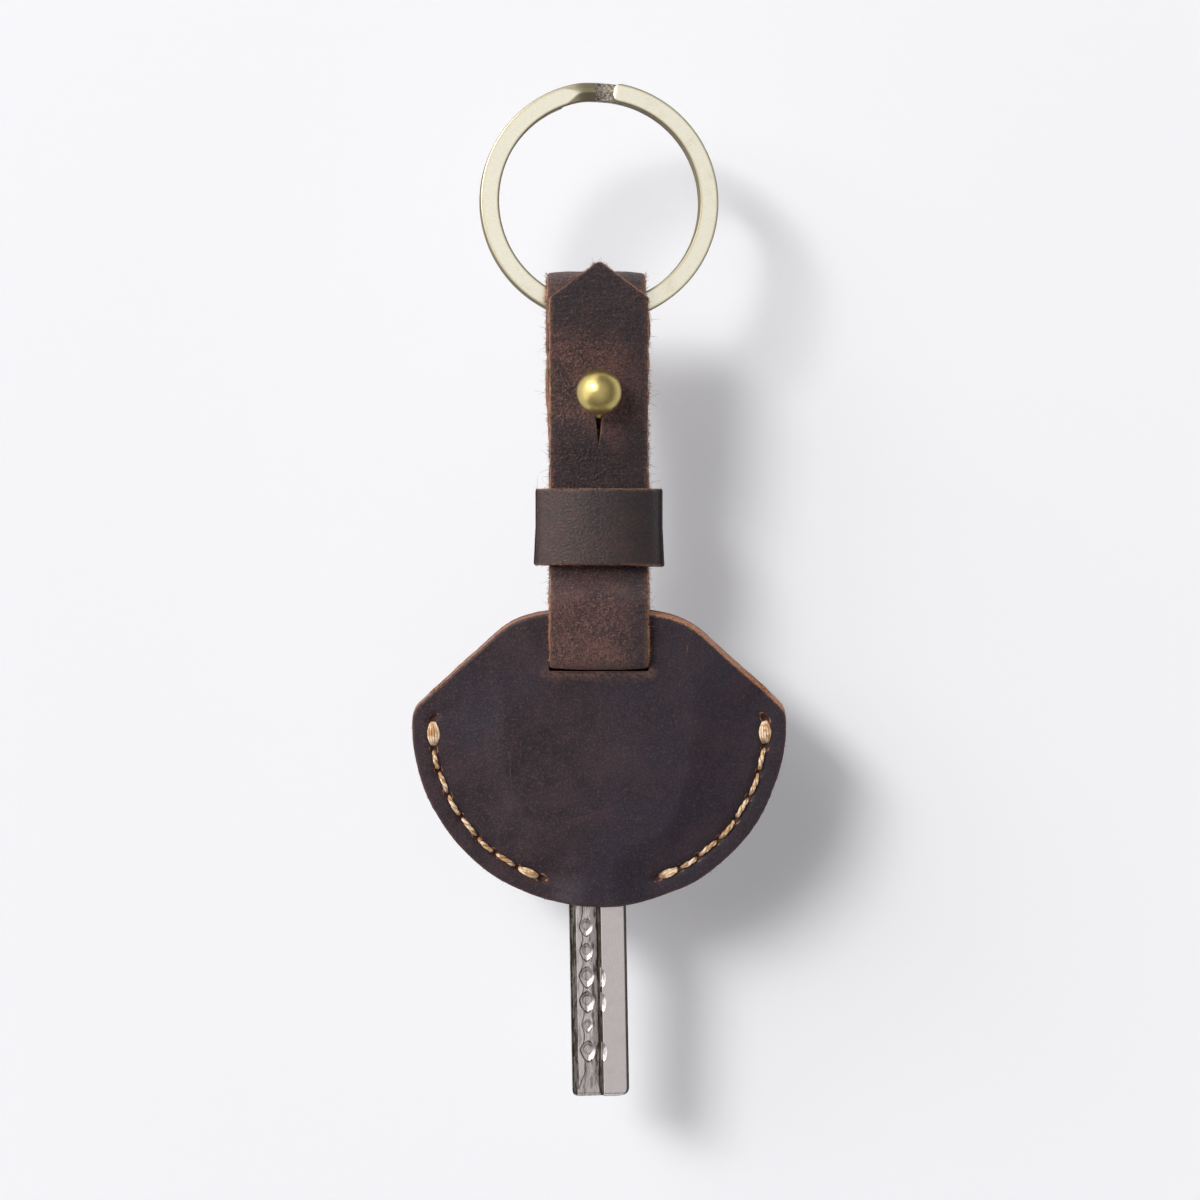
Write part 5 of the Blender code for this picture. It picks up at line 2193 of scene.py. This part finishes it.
@dataclass
class SplitRing:
    """A flat wire wound twice round, with a jog where it passes from one turn to the other."""

    outer_radius: float = 0.016
    wire_width: float = 0.0025
    wire_thickness: float = 0.0010
    pitch: float = 0.00142
    edge_round: float = 0.0002
    tilt: float = math.radians(6.0)
    start: float = math.radians(82.7)
    jog_start: float = math.radians(103.0)
    jog_length: float = math.radians(16.0)
    end_gap: float = math.radians(6.0)
    centre_above_axis: float = 0.013916
    end_round: float = 0.0009
    end_width: float = 0.35
    end_thickness: float = 0.8
    points_a_turn: int = 440
    face_points: int = 14
    corner_steps: int = 5
    tarnish: float = 0.85
    side_from: float = 0.99
    bright_start: Span = (-0.45, 0.3)
    jog_fade: Span = (1.6, 1.2)
    soft_edge: Span = (-0.12, 0.12)
    aged_in_jog: float = 0.75
    aged_edge: float = 0.65
    aged_edge_from: float = 0.8
    olive_stain: float = 0.3
    olive_span: Span = (0.3, 0.6)
    rough_start: Span = (0.62, 0.72)
    rough_share: float = 0.85

    def _path(self) -> tuple[Grid, Grid]:
        """The wire's angles and levels along its length.

        Returns:
            The angle and the level of each row.
        """
        front_sweep = math.tau - (self.jog_start - self.start)
        back_sweep = math.tau - self.jog_length - self.end_gap
        total = front_sweep + self.jog_length + back_sweep
        swept = np.linspace(0.0, total, int(total / math.tau * self.points_a_turn))
        fallen = smoothstep(front_sweep, front_sweep + self.jog_length, swept)
        return self.start - swept, self.pitch / 2 - self.pitch * fallen

    def _section(self) -> Grid:
        """The wire's section, counter-clockwise from its outer side.

        Returns:
            The points, as distances outwards and upwards from the wire's middle.
        """
        wide = self.wire_width / 2 - self.edge_round
        high = self.wire_thickness / 2
        corners = corner_arcs(wide, high - self.edge_round, self.edge_round, self.corner_steps)
        across = np.linspace(wide, -wide, self.face_points + 2)[1:-1]
        top = flat_points(across[:, None], high)
        return np.vstack([corners[0], top, corners[1], corners[2], -top, corners[3]])

    def _traits(self, angles: Grid, across: Grid) -> dict[Trait, Grid]:
        """The wire's painted shade on its sides, round its jog and along its face's edges, and its
        roughness, most of them round its jog.

        Args:
            angles: The angle of each row.
            across: Where each point of the section lies across the wire.

        Returns:
            The traits.
        """
        wide = self.wire_width / 2 - self.edge_round
        jogged = (angles + math.tau - self.jog_start)[:, None] / -self.jog_length
        fade = smoothstep(*self.jog_fade, jogged)
        bright = 1.0 - smoothstep(*self.bright_start, jogged) * fade
        outward = across[None, :] / wide
        # Painted shade: the face turns olive and dark where it tilts down into the jog, and shadowed
        # where it runs under the other turn's end.
        olive = smoothstep(*self.soft_edge, outward - bright)
        under = smoothstep(*self.soft_edge, -outward - bright)
        aged = self.aged_in_jog * np.maximum(olive, under)
        # Painted shade along the edges of the face.
        aged_edge = self.aged_edge * smoothstep(self.aged_edge_from, 1.0, np.abs(outward))
        side_start, side_end = wide * self.side_from, self.wire_width / 2
        # Painted shade on the wire's side walls.
        on_side = self.tarnish * smoothstep(side_start, side_end, np.abs(across))
        stain = self.olive_stain * olive * smoothstep(*self.olive_span, outward)
        stain = np.maximum(on_side, np.maximum(self.aged_in_jog * under, stain))
        rough = np.tile(smoothstep(*self.rough_start, jogged) * fade, (1, len(across)))
        return {
            Trait.STAIN: stain,
            Trait.WAX: rough * self.rough_share,
            Trait.WEAR: np.maximum(aged, aged_edge),
        }

    def build(self, brass: Material) -> None:
        """Makes the ring and sets it on the model.

        Args:
            brass: Its material.
        """
        angles, levels = self._path()
        section = self._section()
        middle = self.outer_radius - self.wire_width / 2
        swept = self.start - angles
        from_end = np.minimum(swept, swept[-1] - swept) * middle
        inside = np.clip(1.0 - from_end / self.end_round, 0.0, 1.0)
        shrink = (self.end_width + (1.0 - self.end_width) * np.sqrt(1.0 - inside**2))[:, None]
        radius = middle + section[None, :, 0] * shrink
        thinned = self.end_thickness + (1.0 - self.end_thickness) * shrink
        rise = levels[:, None] + section[None, :, 1] * thinned
        turned = [radius * np.cos(angles)[:, None], radius * np.sin(angles)[:, None]]
        maker = MeshMaker()
        traits = self._traits(angles, section[:, 0])
        maker.add_grid(np.stack([*turned, rise], axis=-1), traits, caps=True)
        above = Matrix.Translation((0.0, RING_AXIS_HEIGHT + self.centre_above_axis, 0.0))
        matrix = layout_matrix() @ above @ Matrix.Rotation(self.tilt, 4, "Y")
        ring = maker.piece("split_ring_wire", brass)
        settle(ring, Body.RING, Slot.RING, "split_ring", matrix=matrix)


@dataclass
class Key:
    """A dimple key: a milled blade and a flat bow with a wide eye, in the key's own frame."""

    thickness: float = 0.0023
    tip: float = -0.0584
    rest_angle: float = math.radians(1.03)
    side_shift: float = -0.0008
    blade_width: float = 0.00765
    tip_radius: float = 0.0012
    tip_left_share: float = 0.4
    tip_thinning: float = 0.0004
    tip_thinned: float = 0.0005
    bow_width: float = 0.0245
    bow_top: float = 0.0048
    bow_height: float = 0.023
    bow_radius: float = 0.007
    bow_bevel: float = 0.0002
    bow_ease: float = 0.03
    bow_points: int = 220
    bow_steps: int = 12
    eye_steps: int = 6
    bow_sharp: float = math.radians(35.0)
    eye_half_width: float = 0.0076
    eye_top: float = 0.0016
    eye_bottom: float = -0.0034
    eye_radius: float = 0.0012
    rib: float = 0.0002
    rib_depth: float = 0.0001
    edge_groove: float = 0.00065
    track: float = 0.00283
    inner_groove: float = 0.00052
    inner_deeper: float = 0.0001
    strip: float = 0.00088
    strip_fall: float = 0.00016
    groove_depth: float = 0.0005
    track_depth: float = 0.00018
    soft: float = 0.00008
    rib_stain: float = 0.45
    edge_stain: float = 0.78
    inner_stain: float = 0.88
    strip_stain: Span = (0.3, 0.25)
    cuts_length: float = 0.030
    cuts_fade: float = 0.001
    channel_half: float = 0.00046
    channel_swell: float = 0.00052
    channel_swell_reach: float = 0.0009
    channel_depth: float = 0.00007
    channel_soft: float = 0.00006
    channel_line: Span = (0.0001, 0.00003)
    line_stain: float = 0.7
    ramp_length: float = 0.0048
    ramp_half: Span = (0.0003, 0.0013)
    ramp_widens: float = 0.0046
    ramp_soft: float = 0.00015
    ramp_depth: Span = (0.00026, 0.0002)
    ramp_edge: float = 0.5
    ramp_stain: float = 0.16
    dimple_first: float = 0.0064
    dimple_pitch: float = 0.00335
    dimple_sizes: tuple[float, ...] = (1.0, 0.62, 1.0, 1.0, 0.85, 0.85)
    dimple_from_edge: float = 0.00224
    dimple_reach: tuple[float, float, float] = (0.00104, 0.00112, 0.00165)
    dimple_power: float = 1.5
    dimple_slope: float = 0.00036
    dimple_depth: float = 0.00017
    floor_radius: float = 0.00062
    floor_span: Span = (1.05, 0.92)
    floor_stain: float = 0.16
    rim_width: float = 0.16
    rim_stain: float = 0.7
    fresh_span: Span = (1.02, 0.94)
    outline_at: float = 1.03
    outline_span: Span = (0.12, 0.03)
    outline_stain: float = 0.85
    scalloped: tuple[int, ...] = (0, 2, 3)
    bite_centre: Span = (-0.0001, -0.0003)
    bite_reach: Span = (0.00066, 0.0013)
    bite_depth: float = 0.0005
    bite_from: float = 0.02
    bite_past: float = 0.0002
    bite_stain: float = 0.02
    blotch_reach: Span = (0.00032, 0.0006)
    blotch_stain: float = 0.9
    bevel: float = 0.00026
    bevel_reach: float = 1.3
    bevel_stain: float = 0.9
    bevel_stain_span: Span = (1.6, 0.9)
    bevel_stain_rise: float = 0.4
    bevel_stain_right: float = 0.00012
    smear_span: Span = (0.00004, 0.00012)
    columns: int = 170
    fine_past: float = 0.0005
    fine_step: float = 0.0001
    coarse_step: float = 0.0006

    def _relief(self, x: Grid, y: Grid) -> tuple[Grid, Grid]:
        """How deep the front face is cut at each place, and how dark it is: darker in the grooves,
        with painted shade along the edges of the cuts.

        Args:
            x: Places across the blade.
            y: Places along it.

        Returns:
            The depths, and the darkening from 0 to 1.
        """
        left = -self.blade_width / 2
        first = left + self.rib
        second = first + self.edge_groove
        third = second + self.track
        fourth = third + self.inner_groove
        strip = third - self.strip
        soft = self.soft

        def between(low: float, high: float) -> Grid:
            """1 between two places across the blade, with soft ends."""
            return smoothstep(low - soft, low + soft, x) * smoothstep(high + soft, high - soft, x)

        places = (left, first, second, strip, third, fourth)
        on_rib, in_edge, in_track, on_strip, in_inner = map(between, places, places[1:])
        slope = np.clip((x - strip) / (third - strip), 0.0, 1.0) * on_strip
        depth = self.rib_depth * on_rib + self.groove_depth * in_edge + self.track_depth * in_track
        depth = depth + (self.track_depth + self.strip_fall * slope) * on_strip
        depth = depth + (self.groove_depth + self.inner_deeper) * in_inner
        stain = self.rib_stain * on_rib + self.edge_stain * in_edge + self.inner_stain * in_inner
        stain = stain + (self.strip_stain[0] + self.strip_stain[1] * slope) * on_strip
        aside = np.abs(x - left - self.dimple_from_edge)
        heights = self.dimple_first + self.dimple_pitch * np.arange(len(self.dimple_sizes))
        dimples = list(zip(heights, self.dimple_sizes))
        from_tip = y - self.tip
        swell = [size * bell(from_tip - at, self.channel_swell_reach) for at, size in dimples]
        channel = self.channel_half + self.channel_swell * np.max(swell, axis=0)
        cut_in = smoothstep(channel + self.channel_soft, channel - self.channel_soft, aside)
        depth = depth + self.channel_depth * cut_in * in_track
        line = smoothstep(*self.channel_line, np.abs(aside - channel))
        # Painted shade along the edges of the channel.
        stain = np.maximum(stain, self.line_stain * line * in_track)
        depth, stain = self._ramp(aside, from_tip, depth, stain)
        for index, (at, size) in enumerate(dimples):
            depth, stain = self._dimple(aside, from_tip - at, size, in_track, depth, stain)
            if index in self.scalloped:
                bite_x, bite_y = self.bite_centre
                off_x = (x - fourth - bite_x) / self.bite_reach[0]
                off_y = (from_tip - at - bite_y) / self.bite_reach[1]
                bite = np.clip(1.0 - np.hypot(off_x, off_y), 0.0, 1.0)
                depth = np.maximum(depth, self.bite_depth * bite)
                bitten = (bite > self.bite_from) & (x > fourth - self.bite_past)
                stain = np.where(bitten, self.bite_stain, stain)
                blotch_x, blotch_y = self.blotch_reach
                blotch = bell(x - first, blotch_x) * bell(from_tip - at, blotch_y)
                stain = np.maximum(stain, self.blotch_stain * blotch)
        in_cuts = smoothstep(self.cuts_length, self.cuts_length - self.cuts_fade, from_tip)
        return depth * in_cuts, stain * in_cuts

    def _ramp(self, aside: Grid, from_tip: Grid, depth: Grid, stain: Grid) -> tuple[Grid, Grid]:
        """Adds the ramp at the tip, which widens towards it, to the depth and the stain.

        Args:
            aside: How far each place is from the dimples' row.
            from_tip: How far it is from the tip.
            depth: The depths so far.
            stain: The stains so far.

        Returns:
            The new depths and stains.
        """
        half = self.ramp_half[0] + self.ramp_half[1] * smoothstep(self.ramp_widens, 0.0, from_tip)
        ramp = smoothstep(half + self.ramp_soft, half - self.ramp_soft, aside)
        rising = smoothstep(self.ramp_length, 0.0, from_tip)
        cut_in = (self.ramp_depth[0] + self.ramp_depth[1] * rising) * ramp * (rising > 0.0)
        stained = np.where((ramp > self.ramp_edge) & (rising > 0.0), self.ramp_stain, stain)
        return np.maximum(depth, cut_in), stained

    def _dimple(
        self, aside: Grid, above: Grid, size: float, in_track: Grid, depth: Grid, stain: Grid
    ) -> tuple[Grid, Grid]:
        """Adds one drilled dimple with its flat floor to the depth and the darkening, with painted
        shade round its floor and outline.

        Args:
            aside: How far each place is from the dimples' row.
            above: How far it is above the dimple.
            size: The dimple's size as a share of the largest.
            in_track: How much of each place is track.
            depth: The depths so far.
            stain: The stains so far.

        Returns:
            The new depths and stains.
        """
        wide, high, low = (reach * size for reach in self.dimple_reach)
        across = aside / wide
        along = np.where(above > 0.0, above / high, -above / low)
        reach = (across**self.dimple_power + along**self.dimple_power) ** (1 / self.dimple_power)
        away = np.hypot(aside, above) / (self.floor_radius * size)
        floor_depth = self.dimple_depth * size
        pit = np.minimum(np.clip(1.0 - reach, 0.0, 1.0) * self.dimple_slope * size, floor_depth)
        pit = np.where(away < 1.0, floor_depth, pit)
        depth = np.maximum(depth, (self.track_depth + self.channel_depth) * (reach < 1.0) + pit)
        floor = self.floor_stain * smoothstep(*self.floor_span, away)
        # Painted shade round the dimple's floor and along its outline.
        rim = self.rim_stain * smoothstep(self.rim_width, 0.0, np.abs(away - 1.0))
        fresh = smoothstep(*self.fresh_span, reach)
        outline = smoothstep(*self.outline_span, np.abs(reach - self.outline_at)) * in_track
        stain = stain * (1.0 - fresh) + fresh * np.maximum(floor, rim)
        return depth, np.maximum(stain, self.outline_stain * outline)

    def _blade(self) -> Rows:
        """The blade as closed rows from the tip up, with its darkening, painted shade along its
        edges, and where it is smeared.

        Returns:
            The rows.
        """
        top = self.bow_top - self.bow_height + self.coarse_step
        fine = np.arange(self.tip, self.tip + self.cuts_length + self.fine_past, self.fine_step)
        coarse = np.arange(fine[-1] + self.coarse_step, top, self.coarse_step)
        share = np.linspace(-1.0, 1.0, self.columns)
        bevel = self.bevel
        skin = Rows()
        for y in np.concatenate([fine, coarse]):
            up = y - self.tip
            corner = max(self.tip_radius - up, 0.0)
            pulled = self.tip_radius - math.sqrt(max(self.tip_radius**2 - corner**2, 0.0))
            half_right = self.blade_width / 2 - pulled
            half_left = self.blade_width / 2 - pulled * self.tip_left_share
            x = np.where(share < 0.0, share * half_left, share * half_right)
            line_y = np.full(len(x), y)
            edge = np.minimum(x + half_left, half_right - x)
            thin = self.tip_thinning * smoothstep(self.tip_thinned, 0.0, up)
            eased_off = bevel * smoothstep(bevel * self.bevel_reach, 0.0, edge)
            surface = self.thickness / 2 - thin - eased_off
            past = edge + self.bevel_stain_rise * min(up, bevel)
            past = past - self.bevel_stain_right * (x > 0.0)
            start, end = (bevel * reach for reach in self.bevel_stain_span)
            # Painted shade along the blade's bevelled edges.
            rim = self.bevel_stain * smoothstep(start, end, past)
            points, stains, depths = [], [], []
            for side in (1, -1):
                depth, stain = self._relief(x * side, line_y)
                points.append(np.column_stack([x, line_y, side * (surface - depth)])[::side])
                stains.append(np.maximum(stain, rim)[::side])
                depths.append(depth[::side])
            smeared = smoothstep(*self.smear_span, np.concatenate(depths))
            skin.add(np.vstack(points), stain=np.concatenate(stains), wax=smeared)
        return skin

    def _bow(self) -> Grid:
        """The bow as closed rings between its outline and its eye.

        Returns:
            The rings' points.
        """
        low = self.bow_top - self.bow_height
        rings = [
            (self.bow_width / 2, self.bow_top, low, self.bow_radius, self.bow_steps),
            (self.eye_half_width, self.eye_top, self.eye_bottom, self.eye_radius, self.eye_steps),
        ]
        outlines = []
        for half, up, down, radius, steps in rings:
            tall = (up - down) / 2 - radius
            corners = corner_arcs(half - radius, tall, radius, steps, (up + down) / 2)
            outlines.append(resampled(np.vstack(corners), self.bow_points, closed=True))
        outer, inner = outlines
        high, ease = self.thickness / 2, self.bow_ease
        levels = [(0.0, high), (ease, high), (1.0 - ease, high), (1.0, high - self.bow_bevel)]
        levels += [(share, -level) for share, level in reversed(levels)]
        wide = outer - inner
        return np.array([flat_points(inner + wide * share, level) for share, level in levels])

    def build(self, nickel: Material) -> None:
        """Makes the blade and the bow and sets them on the model.

        Args:
            nickel: Their material.
        """
        aside = Matrix.Translation((self.side_shift, 0.0, 0.0))
        matrix = layout_matrix(COVER_TILT, self.rest_angle) @ aside
        blade, bow = MeshMaker(), MeshMaker()
        blade.add_grid(*self._blade().grid(), caps=True)
        settle(blade.piece("key_blade", nickel), Body.KEY, Slot.KEY, "key", matrix=matrix)
        bow.add_grid(self._bow(), wrap_rows=True)
        piece = bow.piece("key_bow", nickel)
        piece.data.set_sharp_from_angle(angle=self.bow_sharp)
        settle(piece, Body.KEY, Slot.KEY, matrix=matrix)


@dataclass
class Cover:
    """Both panels and their stitching."""

    shape: CoverShape = field(default_factory=CoverShape)
    draw_seed: int = 10

    def build(self, hide: Hide, thread: Material) -> None:
        """Makes the panels and the thread and sets them on the model.

        Args:
            hide: The materials of the panels.
            thread: The material of the stitches.
        """
        matrix = layout_matrix(COVER_TILT)
        stitching = Stitching(self.shape)
        draw = np.random.default_rng(self.draw_seed)
        for face in Face:
            panel = Panel(self.shape, stitching, face)
            node = f"{face.name.lower()}_panel"
            settle(panel.build(hide), Body.COVER, Slot.PANELS, node, matrix=matrix)
            settle(panel.fuzz(draw, hide), Body.COVER, Slot.PANELS, matrix=matrix)
        for side, node in ((-1, "thread_left"), (1, "thread_right")):
            settle(stitching.build(side, thread), Body.COVER, Slot.THREAD, node, matrix=matrix)


@dataclass(frozen=True)
class Window:
    """One soft light, as its place in the sky in degrees and its share of the floor's light."""

    name: str
    bearing: float
    elevation: float
    spread: Span
    share: float

    def build(self, distance: float) -> None:
        """Adds the lamp.

        Args:
            distance: How far from the cover it stands.
        """
        lamp = bpy.data.lights.new(self.name, "AREA")
        lamp.shape = "ELLIPSE"
        lamp.size, lamp.size_y = 2.0 * distance * np.tan(np.radians(self.spread))
        rise = math.sin(math.radians(self.elevation))
        lamp.energy = self.share * math.pi**2 * distance**2 / rise
        flat = math.cos(math.radians(self.elevation))
        bearing = math.radians(self.bearing)
        way = Vector((flat * math.cos(bearing), flat * math.sin(bearing), rise))
        light = put_in_scene(self.name, lamp)
        light.location = way * distance
        light.rotation_mode = "QUATERNION"
        light.rotation_quaternion = way.to_track_quat("Z", "Y")


@dataclass
class Studio:
    """The floor, the soft light and the camera straight above."""

    view_width: float = 0.1608
    view_centre: Span = (0.00013, -0.0012)
    view_level: float = 0.005
    view_clip: Span = (0.01, 10.0)
    lens_mm: float = 100.0
    sensor_mm: float = 36.0
    floor_half: float = 1.5
    floor_colour: Colour = (0.92, 0.92, 0.94)
    floor_roughness: float = 0.9
    floor_drop: float = 0.019
    lamp_distance: float = 5.0
    windows: tuple[Window, ...] = (
        Window("window_core", 142.5, 55.0, (6.0, 11.0), 0.39),
        Window("window_glow", 144.0, 42.0, (20.0, 30.0), 0.34),
    )
    sky_colour: Colour = (0.985, 0.975, 1.0)
    horizon: float = 2.7
    horizon_span: Span = (0.18, 0.42)
    surround: float = 0.12
    backdrop: float = 0.93
    window_way: Colour = (-0.91, 0.41, 0.0)
    mirrored_span: Span = (0.38, 0.62)
    mirrored_window: float = 1.8
    mirrored_ceiling: tuple[float, float, float, float] = (0.45, 0.95, 0.24, 0.76)

    def _floor(self) -> None:
        """A plain pale floor, a little below the hanging cover."""
        half, level = self.floor_half, CAD_LOW.z - self.floor_drop
        signs = ((-1, -1), (1, -1), (1, 1), (-1, 1))
        corners = [(half * right, half * up, level) for right, up in signs]
        mesh = bpy.data.meshes.new("floor")
        mesh.from_pydata(corners, [], [(0, 1, 2, 3)])
        material = bpy.data.materials.new("pale_floor")
        material.use_nodes = True
        shader = material.node_tree.nodes["Principled BSDF"]
        shader.inputs["Base Color"].default_value = (*self.floor_colour, 1.0)
        shader.inputs["Roughness"].default_value = self.floor_roughness
        shader.inputs["Specular IOR Level"].default_value = 0.0
        mesh.materials.append(material)
        put_in_scene("floor", mesh)

    def _world(self) -> None:
        """A pale horizon, the window and the ceiling in reflections, and an even backdrop."""
        world = bpy.data.worlds.new("studio")
        bpy.context.scene.world = world
        world.use_nodes = True
        sky = Nodes(world.node_tree, clamped=False)
        background = world.node_tree.nodes["Background"]
        background.inputs["Color"].default_value = (*self.sky_colour, 1.0)
        way = sky.node("ShaderNodeTexCoord").outputs["Generated"]
        path = sky.node("ShaderNodeLightPath").outputs
        mirrored = path["Is Glossy Ray"]
        overhead = sky.along(way, (0.0, 0.0, 1.0))
        low = sky.span(overhead, *self.horizon_span, self.horizon, self.surround)
        plain = sky.most(path["Is Camera Ray"], path["Is Transmission Ray"])
        even = sky.span(plain, 0.0, 1.0, 0.0, self.backdrop)
        towards = sky.along(way, self.window_way)
        side = sky.span(towards, *self.mirrored_span, 0.0, self.mirrored_window)
        reflected = sky.most(side, sky.span(overhead, *self.mirrored_ceiling))
        mirror = sky.times(reflected, mirrored)
        lit = sky.times(sky.span(sky.most(plain, mirrored), 0.0, 1.0, 1.0, 0.0), low)
        sky.link(sky.most(sky.most(even, mirror), lit), background.inputs["Strength"])

    def _camera(self) -> None:
        """The camera straight above, framed as the photograph is."""
        data = bpy.data.cameras.new("camera")
        data.lens = self.lens_mm
        data.sensor_width = self.sensor_mm
        data.clip_start, data.clip_end = self.view_clip
        camera = put_in_scene("camera", data)
        distance = self.view_width * self.lens_mm / self.sensor_mm
        camera.location = (*self.view_centre, self.view_level + distance)
        bpy.context.scene.camera = camera

    def build(self) -> None:
        """Sets up the floor, the light and the camera."""
        bpy.context.scene.view_settings.view_transform = "Standard"
        self._floor()
        self._world()
        for window in self.windows:
            window.build(self.lamp_distance)
        self._camera()


def main() -> None:
    """Dresses every piece of the cover in order and reports each one."""
    logging.basicConfig(level=logging.INFO, format="%(name)s: %(message)s")
    Studio().build()
    raw, fibres = RawEdge().material(), Fibres().material()
    Cover().build(Hide(PANEL_LEATHER.material(), raw, fibres), WaxedThread().material())
    Strap().build(Hide(STRAP_LEATHER.material(), raw, fibres))
    Keeper().build(Hide(KEEPER_LEATHER.material(), raw, fibres))
    BallStud().build(BALL_BRASS.material())
    SplitRing().build(RING_BRASS.material())
    Key().build(NickelSilver().material())


if __name__ == "__main__":
    main()
